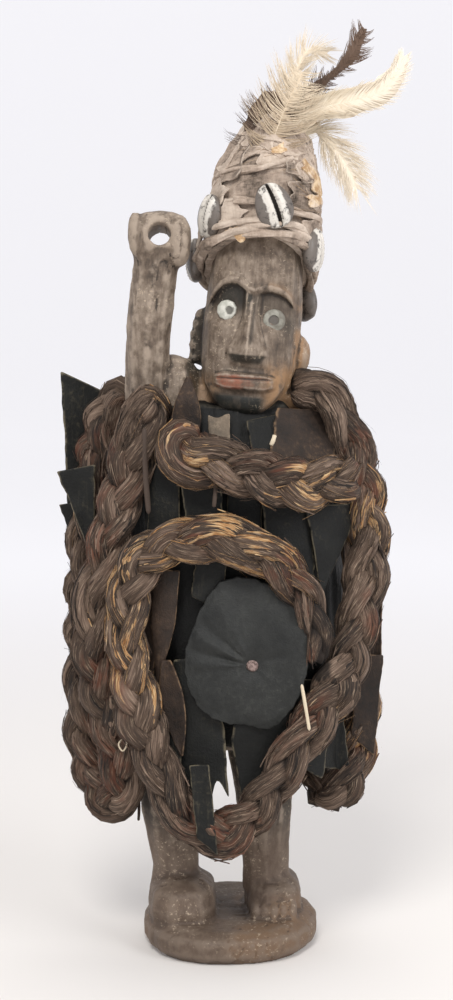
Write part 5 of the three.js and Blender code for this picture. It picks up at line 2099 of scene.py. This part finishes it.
@dataclass
class Plait:
    """A three-strand plait along points in millimetres, with straw showing on some stretches."""

    name: str
    points: list[Place]
    width: float
    depth: float
    straw: list[tuple[float, float]]
    seed: int
    bulb: float = 0
    tail: float = 8
    pitch: float = 66 * MM
    facing: float = 25 * MM
    fibres: int = 420
    ribbons: float = 1.8
    tail_size: float = 0.6
    sides: int = 24
    step: float = 1.8 * MM
    map_length: float = 22 * MM
    map_turn: float = 190 * MM

    def __post_init__(self) -> None:
        """Works out the route once."""
        self.route = Route([tuple(c * MM for c in p) for p in self.points])
        self.thick = min(self.width, self.depth * 1.25) * 0.26
        self.nodes = [self.name]

    def _frame(self, distance: Array) -> Frame:
        """Place, cross direction and outward direction along the plait.

        Args:
            distance: Distances along the plait, in metres.

        Returns:
            The three, one row of each for each distance.
        """
        place = self.route.at(distance)
        heading = self.route.heading(distance)
        out = unit(columns(place[:, 0] * 0.35, place[:, 1] - self.facing, 0))
        across = unit(np.cross(heading, out))
        return place, across, unit(np.cross(across, heading))

    def _swell(self, distance: Array) -> Array:
        """Size along the plait as a share: a knot at the start, a taper at the end."""
        start = np.minimum(1, 0.62 + distance / MM * 0.06)
        left = (self.route.length - distance) / MM
        end = self.tail_size + (1 - self.tail_size) * smooth_step(left / self.tail)
        return start * end * (1 + self.bulb * hump(distance / MM, 12, 12))

    def strand_centre(self, strand: int, distance: Array) -> Array:
        """Middle of one strand at distances along the plait.

        Args:
            strand: 0, 1 or 2.
            distance: Distances along the plait, in metres.

        Returns:
            One place for each distance.
        """
        place, across, out = self._frame(distance)
        play = 0.5 * np.sin(distance / MM / 37 + self.seed * 2) + 0.3 * np.sin(distance / MM / 14 + self.seed)
        turn = distance * 2 * math.pi / self.pitch + strand * 2 * math.pi / 3 + play
        swing = (self.width / 2 - self.thick) * MM * self._swell(distance)
        weave = (self.depth / 2 - self.thick) * MM * self._swell(distance) * 1.25
        return place + across * (swing * np.sin(turn))[:, None] + out * (weave * np.sin(2 * turn))[:, None]

    def strand_frame(self, strand: int, distance: Array) -> Frame:
        """Middle and two cross directions of one strand.

        Args:
            strand: 0, 1 or 2.
            distance: Distances along the plait, in metres.

        Returns:
            The three, one row of each for each distance.
        """
        step = 0.6 * MM
        ahead = self.strand_centre(strand, np.minimum(distance + step, self.route.length))
        behind = self.strand_centre(strand, np.maximum(distance - step, 0))
        heading = unit(ahead - behind)
        _, _, out = self._frame(distance)
        side = unit(np.cross(heading, out))
        return self.strand_centre(strand, distance), side, unit(np.cross(side, heading))

    def _half_sizes(self, distance: Array) -> Array:
        """Half width and half depth of a strand."""
        size = self._swell(distance) * (1 + 0.2 * lumps(columns(distance / MM, 0, 0), 19, self.seed))
        size *= self.thick * MM
        return columns(size * 1.2, size)

    def _bulge(self, strand: int, turn: Array, distance: Array) -> Array:
        """Long folds and ribbons round a strand, as a share of its size.

        Args:
            strand: 0, 1 or 2.
            turn: Angles round the strand, in radians.
            distance: Distances along the plait, in metres.

        Returns:
            One share for each place.
        """
        twist = turn + distance / MM / 30
        along = distance / MM / 11 + strand * 31 + self.seed * 7
        rows = columns(np.cos(twist) * 5, np.sin(twist) * 5, along)
        ribbons = 1 - np.abs(lumps(rows, 2.3, strand + self.seed)) * 2
        folds = lumps(rows, 4.2, strand + 9)
        return 0.97 + 0.14 * ribbons + 0.12 * folds + 0.04 * lumps(rows, 0.9, strand + 17)

    def _straw_share(self, distance: Array) -> Array:
        """How much straw shows at distances along the plait.

        Args:
            distance: Distances along the plait, in metres.

        Returns:
            Shares from 0 to 1.
        """
        share = distance / self.route.length
        total = np.zeros_like(share)
        for low, high in self.straw:
            total = np.maximum(total, over(share, low, 0.03) * under(share, high, 0.03))
        return total

    def _strand(self, strand: int) -> Object:
        """One strand as a ribbed tube with its marks.

        Args:
            strand: 0, 1 or 2.

        Returns:
            The strand.
        """
        length = self.route.length

        def route(v: Array) -> Frame:
            """Centre line of the strand."""
            return self.strand_frame(strand, v * length)

        def reach(u: Array, v: Array) -> Array:
            """Ribbed outline of the strand."""
            bulge = self._bulge(strand, u * 2 * math.pi, v * length)
            return self._half_sizes(v * length) * bulge[:, None]

        steps = int(length / self.step)
        piece = tube(f"{self.name}_strand_{strand}", route, reach, self.sides, steps)
        self._stretch_map(piece, strand)
        return piece

    def _stretch_map(self, piece: Object, strand: int) -> None:
        """Gives the map real lengths, so that fibres keep their size, and marks tone and straw.

        Args:
            piece: The strand's mesh.
            strand: 0, 1 or 2.
        """
        layer = piece.data.uv_layers[0]
        flat = np.empty(len(layer.data) * 2, np.float32)
        layer.data.foreach_get("uv", flat)
        flat = flat.reshape(-1, 2)
        along = flat[:, 1] * self.route.length
        loops = corner_vertices(piece)
        distance = np.zeros(len(piece.data.vertices))
        around = np.zeros(len(piece.data.vertices))
        distance[loops] = along
        around[loops] = flat[:, 0]
        flat[:, 0] += along / self.map_turn
        flat[:, 1] = along / self.map_length + strand * 3.3 + self.seed
        layer.data.foreach_set("uv", flat.ravel())
        rows = columns(around * 6, distance / MM / 16, strand * 5.0)
        patchy = smooth_step(lumps(rows, 1.0, 41) * 0.9 + 0.42)
        mark(piece, "straw", self._straw_share(distance) * patchy)
        mark(piece, "tone", 0.5 + 0.5 * lumps(rows, 1.6, 43))

    def _fibre(self, rng: random.Random) -> tuple[Hair, float]:
        """One loose fibre on a strand's skin, and how much straw it has.

        Args:
            rng: Source of the fibre's own differences.

        Returns:
            The hair, as hair_mesh takes it, and the straw.
        """
        strand = rng.randrange(3)
        start = rng.uniform(0, 0.97) * self.route.length
        straw = float(self._straw_share(np.array([start]))[0])
        if straw < 0.5 and rng.random() < 0.35:
            start = rng.uniform(0, 0.97) * self.route.length
            straw = float(self._straw_share(np.array([start]))[0])
        reach = rng.uniform(8, 34) * MM
        distance = np.linspace(start, min(start + reach, self.route.length), FIBRE_PLACES)
        frame = self.strand_frame(strand, distance)
        turn = rng.uniform(0, 2 * math.pi) + np.linspace(0, rng.uniform(-0.8, 0.8), FIBRE_PLACES)
        half = self._half_sizes(distance) * self._bulge(strand, turn, distance)[:, None]
        s = np.linspace(-1, 1, FIBRE_PLACES)
        loose = rng.uniform(0.2, 0.8)
        loose = loose + (rng.uniform(0.5, 3.2) if rng.random() < 0.3 else 0.0) * np.abs(s) ** 4
        places = round_about(frame, turn, half + (loose * MM + 0.1 * MM)[:, None])
        tone = rng.random()
        facing = frame[2][FIBRE_PLACES // 2]
        return (places, facing, rng.uniform(0.12, 0.3) * MM, tone, 0.5), straw * (0.4 + 0.8 * rng.random())

    def _ribbon_facts(self, rng: np.random.Generator) -> dict[str, Array]:
        """Picks where each ribbon lies, how long and wide it is, and which of them show.

        Args:
            rng: Source of the ribbons' differences.

        Returns:
            Each fact by name, one value for each ribbon.
        """
        count = int(self.route.length / MM * self.ribbons)
        facts = {
            "strand": rng.integers(0, 3, count),
            "start": rng.uniform(0, 0.985, count) * self.route.length,
            "reach": rng.uniform(11, 38, count) * MM,
            "turn": rng.uniform(0, 2 * math.pi, count),
            "drift": rng.normal(0, 0.3, count),
            "half": (0.3 + 0.9 * rng.random(count) ** 1.8) * MM,
            "lift": np.where(rng.random(count) < 0.3, rng.uniform(0.4, 2.2, count), 0.0) * MM,
            "skin": rng.uniform(0.0, 0.35, count) * MM,
            "tone": rng.random(count),
            "straw": rng.random(count),
        }
        middle = facts["start"] + facts["reach"] / 2
        shown = np.zeros(count, bool)
        place, across, out = self._frame(middle)
        for strand in range(3):
            rows = facts["strand"] == strand
            frame = self.strand_frame(strand, middle[rows])
            off = round_about(frame, facts["turn"][rows], self._half_sizes(middle[rows])) - place[rows]
            shown[rows] = self._off_middle(off, across[rows], out[rows]) > 0.62
        return {key: value[shown] for key, value in facts.items()}

    def _ribbons(self) -> Object:
        """Flat ribbons of split fibre that hug the strands, some with lifted ends."""
        facts = self._ribbon_facts(np.random.default_rng(self.seed + 50))
        count, rings = len(facts["turn"]), 7
        share = np.linspace(0, 1, rings)[None, :]
        distance = np.minimum(facts["start"][:, None] + facts["reach"][:, None] * share, self.route.length)
        turn = facts["turn"][:, None] + facts["drift"][:, None] * (share - 0.5)
        taper = np.maximum(np.sin(math.pi * (0.06 + 0.88 * share)), 0) ** 0.6
        lift = facts["skin"][:, None] + facts["lift"][:, None] * np.abs(2 * share - 1) ** 6
        corners = np.empty((count, rings, 4, 3))
        maps = np.empty((count, rings, 4, 2))
        for strand in range(3):
            rows = np.flatnonzero(facts["strand"] == strand)
            along = distance[rows].ravel()
            frame = self.strand_frame(strand, along)
            half = self._half_sizes(along)
            size = half.mean(axis=1)
            for k, (edge, rise) in enumerate(((-1, -0.05), (0, 0.32), (1, -0.05), (0, -0.3))):
                spread = (facts["half"][rows, None] * taper[0]).ravel() * edge / size
                angle = turn[rows].ravel() + spread
                skin = half * self._bulge(strand, angle, along)[:, None]
                skin += (lift[rows].ravel() + rise * MM)[:, None]
                corners[rows, :, k] = round_about(frame, angle, skin).reshape(len(rows), rings, 3)
                around, onwards = angle / (2 * math.pi), along / self.map_length
                maps[rows, :, k, 0] = around.reshape(len(rows), rings) + facts["tone"][rows, None] * 5
                maps[rows, :, k, 1] = onwards.reshape(len(rows), rings) + facts["straw"][rows, None] * 9
        first = np.arange(count)[:, None] * rings * 4
        faces = []
        for ring in range(rings - 1):
            for k in range(4):
                j = (k + 1) % 4
                low, high = ring * 4, ring * 4 + 4
                faces.append(np.hstack([first + corner for corner in (low + k, low + j, high + j, high + k)]))
        faces.append(np.hstack([first + 3, first + 2, first + 1, first]))
        last = first + (rings - 1) * 4
        faces.append(np.hstack([last, last + 1, last + 2, last + 3]))
        piece = mesh_piece(self.name + "_ribbons", corners.reshape(-1, 3), np.vstack(faces).tolist())
        face_outwards(piece)
        loops = corner_vertices(piece)
        layer = piece.data.uv_layers.new(name="UVMap")
        layer.data.foreach_set("uv", maps.reshape(-1, 2)[loops].astype(np.float32).ravel())
        straw = self._straw_share(distance.ravel()).reshape(count, rings)
        straw = straw * (0.3 + 0.9 * facts["straw"][:, None])
        mark(piece, "straw", np.repeat(straw.ravel(), 4))
        mark(piece, "tone", np.repeat(facts["tone"], rings * 4))
        return piece

    def build(self, finish: Material) -> Object:
        """Makes the plait.

        Args:
            finish: The fibre.

        Returns:
            The piece.
        """
        rng = random.Random(self.seed)
        strands = [self._strand(k) for k in range(3)]
        core = join(strands, self.name + "_strands")
        mark(core, "hollow", self._depth_marks(core))
        present(core, finish, self.nodes, angle=75)
        pairs = [self._fibre(rng) for _ in range(self.fibres)]
        loose = hair_mesh(self.name + "_fibres", [hair for hair, _ in pairs])
        mark(loose, "straw", np.repeat([straw for _, straw in pairs], FIBRE_PLACES * HAIR_SIDES))
        layer = loose.data.uv_layers.new(name="UVMap")
        scatter = np.random.default_rng(self.seed).random(len(layer.data) * 2)
        layer.data.foreach_set("uv", scatter.astype(np.float32))
        skin = join([self._ribbons(), loose], self.name + "_fibre")
        mark(skin, "hollow", self._depth_marks(skin) * 0.8)
        LOG.info("%s is %.0f mm long", self.name, self.route.length / MM)
        return present(skin, finish, self.nodes, angle=75)

    def _depth_marks(self, piece: Object) -> Array:
        """Painted shade: darkens what lies deep between the strands.

        Args:
            piece: The strands or their fibre.

        Returns:
            Marks from 0 to 1, one for each vertex.
        """
        points = coordinates(piece)
        marks = np.linspace(0, self.route.length, max(40, int(self.route.length / (3 * MM))))
        middle, across, out = self._frame(marks)
        near = np.empty(len(points), np.int64)
        batch = 20000
        for start in range(0, len(points), batch):
            part = points[start : start + batch]
            gap = ((part[:, None, :] - middle[None, :, :]) ** 2).sum(axis=2)
            near[start : start + batch] = gap.argmin(axis=1)
        reach = self._off_middle(points - middle[near], across[near], out[near])
        return np.clip((0.74 - reach) / 0.3, 0, 1)

    def _off_middle(self, off: Array, across: Array, out: Array) -> Array:
        """How far places lie off the plait's middle, as a share of its half width and half depth.

        Args:
            off: From the middle line to each place.
            across: Cross directions.
            out: Outward directions.

        Returns:
            One share for each place.
        """
        wide = np.einsum("ij,ij->i", off, across) / (self.width / 2 * MM)
        deep = np.einsum("ij,ij->i", off, out) / (self.depth / 2 * MM)
        return np.hypot(wide, deep)


@dataclass
class Skein(Plait):
    """Loose fibre that lies side by side and hardly twists, tied on over a plait's end."""

    def __post_init__(self) -> None:
        """Works out the route. A skein stands for no solid."""
        super().__post_init__()
        self.nodes = []

    def strand_centre(self, strand: int, distance: Array) -> Array:
        """Middle of one strand, beside its neighbours.

        Args:
            strand: 0, 1 or 2.
            distance: Distances along the plait, in metres.

        Returns:
            One place for each distance.
        """
        place, across, out = self._frame(distance)
        swell = self._swell(distance)
        wave = np.sin(distance / MM / 8 + strand * 2.1)
        spread = ((strand - 1) * self.width * 0.28 + 0.8 * wave) * MM * swell
        rise = (1.6 * (strand == 1) + 0.7 * np.cos(distance / MM / 6 + strand)) * MM
        return place + across * spread[:, None] + out * rise[:, None]


def skeins() -> list[Skein]:
    """Loose fibre that the left plait's end winds round the base of the raised arm."""
    over_arm = [
        (-31, -20, 268), (-34, -27, 277), (-39, -31, 281), (-45, -33, 275), (-50, -33, 264), (-54, -32, 250),
    ]
    return [Skein("arm_skein", over_arm, 9.5, 6, [(0.1, 0.4)], 11, fibres=70, ribbons=3.2, tail=12)]


def plaits() -> list[Plait]:
    """The four plaits, along the same points as the solids."""
    belly = [
        (30, -10, 284), (42, -10, 283), (52, -8, 274), (59, -7, 259), (65, -10, 241), (68, -14, 222),
        (69, -18, 204), (66, -24, 184), (62, -30, 165), (56, -36, 147), (46, -42, 130),
        (33, -47, 112), (22, -49, 94), (10, -48, 77), (-4, -46, 68), (-18, -46, 72),
        (-28, -46, 86), (-35, -47, 102), (-41, -48, 120), (-46, -48, 140), (-49, -47, 159),
        (-50, -46, 178), (-47, -47, 194), (-39, -49, 206), (-26, -51, 212), (-12, -53, 214),
        (5, -54, 211), (18, -53, 205), (30, -51, 194), (38, -48, 181), (42, -46, 166), (43, -45, 152),
    ]
    chest = [
        (-17, -32, 262), (-21, -42, 257), (-16, -49, 251), (-7, -52, 250), (5, -53, 247),
        (18, -54, 243), (33, -52, 240), (46, -47, 240), (55, -40, 242), (59, -32, 244),
    ]
    left = [
        (-44, 16, 268), (-50, 12, 277), (-57, 9, 277), (-63, 8, 268), (-67, 9, 252), (-71, 11, 231),
        (-74, 12, 211), (-75, 12, 188), (-75, 12, 164), (-76, 12, 141), (-76, 10, 118), (-74, 5, 98),
        (-68, -3, 83), (-60, -11, 74), (-53, -18, 82), (-54, -23, 98), (-58, -27, 119),
        (-64, -30, 141), (-67, -31, 161), (-66, -31, 181), (-61, -31, 201), (-56, -31, 220),
        (-50, -30, 240), (-46, -30, 256), (-42, -31, 270), (-38, -31, 280),
    ]
    back = [
        (50, 22, 268), (57, 25, 250), (61, 27, 226), (62, 27, 200), (62, 25, 174), (65, 20, 148),
        (67, 12, 122), (65, 4, 98), (58, -3, 80), (50, 2, 74), (44, 16, 86), (40, 33, 110),
        (34, 46, 136), (24, 52, 160), (10, 54, 182), (-8, 54, 200), (-26, 52, 218), (-40, 45, 238),
        (-46, 34, 256), (-42, 24, 268),
    ]
    belly_straw = [(0.08, 0.2), (0.3, 0.36), (0.6, 0.94)]
    return [
        Plait("rope_belly", belly, 20.5, 14.5, belly_straw, 1, tail=55, tail_size=0.55, fibres=620),
        Plait("rope_chest", chest, 22, 15, [(0.02, 0.3), (0.5, 0.92)], 2, bulb=0.34, fibres=300),
        Plait("rope_left", left, 21, 15, [(0.14, 0.2), (0.72, 0.78)], 3, fibres=520),
        Plait("rope_back", back, 20, 15, [(0.2, 0.42)], 4),
    ]


# Stage, camera and lights


@dataclass
class Studio:
    """Camera, backdrop and soft lights."""

    camera_place: Place = (-1.5 * MM, -950 * MM, 330 * MM)
    pitch_deg: float = 6.2
    focal_px: float = 1900
    sensor: float = 36

    def camera(self) -> None:
        """Sets the camera at the photograph's angle."""
        data = bpy.data.cameras.new("camera")
        data.sensor_width = self.sensor
        data.sensor_height = self.sensor
        data.sensor_fit = "AUTO"
        data.lens = self.focal_px / FRAME_HEIGHT_PX * self.sensor
        data.clip_start = 0.01
        camera = bpy.data.objects.new("camera", data)
        bpy.context.scene.collection.objects.link(camera)
        camera.location = self.camera_place
        camera.rotation_euler = (math.pi / 2 - math.radians(self.pitch_deg), 0, 0)
        bpy.context.scene.camera = camera

    def backdrop(self, finish: Material) -> Object:
        """Lays the floor and bends it up into a wall all round.

        Args:
            finish: The stage's material.

        Returns:
            The backdrop.
        """
        flat, bend, wall = 3.6, 1.2, 3.0

        def rule(u: Array, v: Array) -> Array:
            """Runs the sheet out along the floor, round the bend and up, all round."""
            arc = bend * math.pi / 2
            s = v**1.5 * (flat + arc + wall)
            turn = np.clip((s - flat) / bend, 0, math.pi / 2)
            reach = np.minimum(s, flat) + bend * np.sin(turn)
            z = bend * (1 - np.cos(turn)) + np.maximum(s - flat - arc, 0)
            angle = u * 2 * math.pi
            return columns(reach * np.cos(angle), reach * np.sin(angle), z - 0.05 * MM)

        piece = close_seams(warped_grid("backdrop", 72, 60, rule))
        piece.data.materials.append(finish)
        activate(piece)
        bpy.ops.object.shade_smooth()
        return piece

    def light(self, name: str, place: Place, size: float, power: float, tint: Place) -> None:
        """Adds one soft area light that looks at the figure.

        Args:
            name: The light's name.
            place: Where it stands.
            size: Its width.
            power: Its power in watts.
            tint: Its colour.
        """
        data = bpy.data.lights.new(name, "AREA")
        data.shape = "DISK"
        data.size = size
        data.energy = power
        data.color = tint
        lamp = bpy.data.objects.new(name, data)
        bpy.context.scene.collection.objects.link(lamp)
        lamp.location = place
        lamp.rotation_euler = (Vector((0, 0, 0.22)) - Vector(place)).to_track_quat("-Z", "Y").to_euler()

    def lights(self) -> None:
        """Sets the lights and the pale surroundings."""
        self.light("key", (-0.25, -1.2, 1.45), 0.6, 17.5, (1.0, 0.985, 0.96))
        self.light("fill", (1.2, -1.0, 0.95), 0.8, 11, (0.97, 0.98, 1.0))
        self.light("top", (0.15, 0.35, 1.9), 1.2, 9.5, (1.0, 1.0, 1.0))
        world = bpy.data.worlds.new("pale room")
        world.use_nodes = True
        world.node_tree.nodes["Background"].inputs[0].default_value = (0.95, 0.96, 1.0, 1)
        world.node_tree.nodes["Background"].inputs[1].default_value = 0.27
        bpy.context.scene.world = world
        bpy.context.scene.view_settings.view_transform = "Standard"


def feathers() -> list[tuple[Feather, str]]:
    """Every feather with the name of its plume finish."""
    tall = [(0, 2, -15), (12, 0, 5), (26, -1, 17), (37, -3, 27), (44, -3, 41)]
    tan = [(-5, -21, -30), (-2, -21, -18), (2, -19, -6), (7, -16, 6), (14, -13, 20)]
    right = [(3, -9, -14), (18, -13, 0), (36, -11, 5), (51, -9, 10), (59, -8, 18), (63, -7, 27)]
    droop = [(9, -6, -14), (19, -3, -6), (28, 0, -14), (36, 2, -25), (41, 3, -36)]
    crest = [(-2, -6, -12), (6, -3, 6), (11, 0, 22), (17, 2, 31), (26, 4, 30)]
    hooks = [(-4, -13, -26), (-6, -13, -14), (-4, -11, -2), (2, -9, 8)]
    grey = [(2, 7, -15), (8, 17, -5), (12, 27, -9), (16, 35, -23)]
    split = Vane.SPLIT
    return [
        (Feather("feather_dark_tall", tall, 19, -80, split, 420, 1, tufts=34, waist=0.6, web=0.4), "dark"),
        (Feather("feather_tan", tan, 37, -88, split, 260, 2, tufts=26, stem=1.0, open=62), "tan"),
        (Feather("feather_white_right", right, 15, -78, Vane.FULL, 520, 3, web=0.9), "white"),
        (Feather("feather_white_droop", droop, 20, -84, Vane.DOWNY, 700, 4), "white"),
        (Feather("feather_white_top", crest, 16, -92, Vane.DOWNY, 560, 5), "cream"),
        (Feather("feather_dark_left", hooks, 33, -96, split, 300, 6, tufts=30, open=66, web=0.6), "dark"),
        (Feather("feather_grey_back", grey, 18, -20, Vane.FULL, 300, 7, web=0.9), "dark"),
    ]


@dataclass(frozen=True)
class Extra:
    """A small loose thing that no solid stands for: a quill, a straw, a thread."""

    name: str
    points: Sequence[Place]
    radius: float
    flat: float
    finish: str
    slot: str

    def build(self, finish: Material) -> Object:
        """Makes the piece along its points.

        Args:
            finish: The plume's material.

        Returns:
            The piece.
        """
        route = Route([np.array(point) * MM for point in self.points])

        def line(share: Array) -> Frame:
            """Centres and cross directions."""
            heading = route.heading(share * route.length)
            first = unit(np.cross(heading, np.tile([0.0, -1.0, 0.05], (len(share), 1))))
            return route.at(share * route.length), first, np.cross(heading, first)

        def reach(around: Array, along: Array) -> Array:
            """A nearly even, slightly uneven stick."""
            size = self.radius * (1 + 0.12 * lumps(columns(along * 30, around * 2, 0), 4, 3)) * MM
            return columns(size, size * self.flat)

        return present(tube(self.name, line, reach, 8, 36), finish)


def extras() -> list[Extra]:
    """The loose things that the photograph shows, in millimetres."""
    quill = [(34.5, -54, 144), (36.4, -54.5, 133), (38.4, -54, 121)]
    chip = [(19.6, -46, 258), (20.6, -46, 260), (21.6, -45, 263)]
    curl = [
        (-53, -43, 118), (-51, -45, 116), (-50, -45, 112), (-52, -45, 109), (-54, -44, 112), (-52, -44, 115),
    ]
    return [
        Extra("quill", quill, 0.8, 0.8, "white", "feather_white"),
        Extra("chip", chip, 1.0, 0.5, "white", "feather_white"),
        Extra("thread", curl, 0.4, 1, "white", "feather_white"),
        Extra("stick", [(-39, -40, 224), (-40.5, -40, 245), (-41, -38, 266)], 1.3, 0.5, "dark", "raffia"),
        Extra("peg", [(-7.5, -53, 229), (-7, -53, 234), (-6.5, -51, 239)], 1.0, 0.9, "dark", "feather_dark"),
    ]


def main() -> None:
    """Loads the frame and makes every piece."""
    logging.basicConfig(level=logging.INFO, format="%(message)s")
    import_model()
    studio = Studio()
    studio.camera()
    studio.backdrop(PlainStage().build())
    studio.lights()

    fibre = PlaitedFibre().build()
    for rope in [*plaits(), *skeins()]:
        rope.build(fibre)

    head = Head()
    Carving(head).build(CarvedWood().build())
    for eye in eyes():
        eye.build(head)

    cap = CapShape()
    Cap(cap).build(BarkCloth().build())
    Cowries(cap).build(CowrieShell().build())
    plumes = {
        "white": Plume("white plume", srgb(206, 191, 166), srgb(228, 217, 199), srgb(188, 162, 126)).build(),
        "cream": Plume("cream plume", srgb(192, 174, 146), srgb(224, 211, 190), srgb(172, 146, 114)).build(),
        "tan": Plume("tan plume", srgb(150, 130, 106), srgb(208, 192, 168), srgb(96, 78, 62)).build(),
        "dark": Plume("dark plume", srgb(70, 58, 50), srgb(106, 86, 72), srgb(44, 36, 32)).build(),
    }
    top = cap.centre(np.array([1.0]))[0]
    for feather, plume in feathers():
        feather.build(top, plumes[plume], "feather_dark" if plume == "dark" else "feather_white")
    for extra in extras():
        extra.build(plumes[extra.finish])

    bundle = BundleShape()
    hides = {
        "dark": Hide("dark hide", srgb(4, 4, 3), srgb(18, 19, 16), srgb(104, 96, 78), scuff=0.24).build(),
        "brown": Hide("brown hide", srgb(24, 18, 14), srgb(56, 43, 34), srgb(122, 98, 74), scuff=0.4).build(),
        "pale": Hide("pale hide", srgb(74, 66, 56), srgb(116, 102, 86), srgb(156, 140, 120)).build(),
    }
    inner = Hide("inner hide", srgb(5, 5, 5), srgb(14, 14, 12), srgb(54, 50, 42), scuff=0.15).build()
    Bundle(bundle).build(inner)
    for seed, blade in enumerate(front_blades() + back_blades()):
        blade.build(bundle, hides[blade.tone], seed + 1)
    pouch = Pouch(bundle)
    shades = srgb(26, 27, 26), srgb(44, 45, 43), srgb(84, 84, 78)
    pouch.build(Hide("pouch hide", *shades, scuff=0.24, rough=0.42).build())
    pouch.build_nail(WornIron().build())


if __name__ == "__main__":
    main()
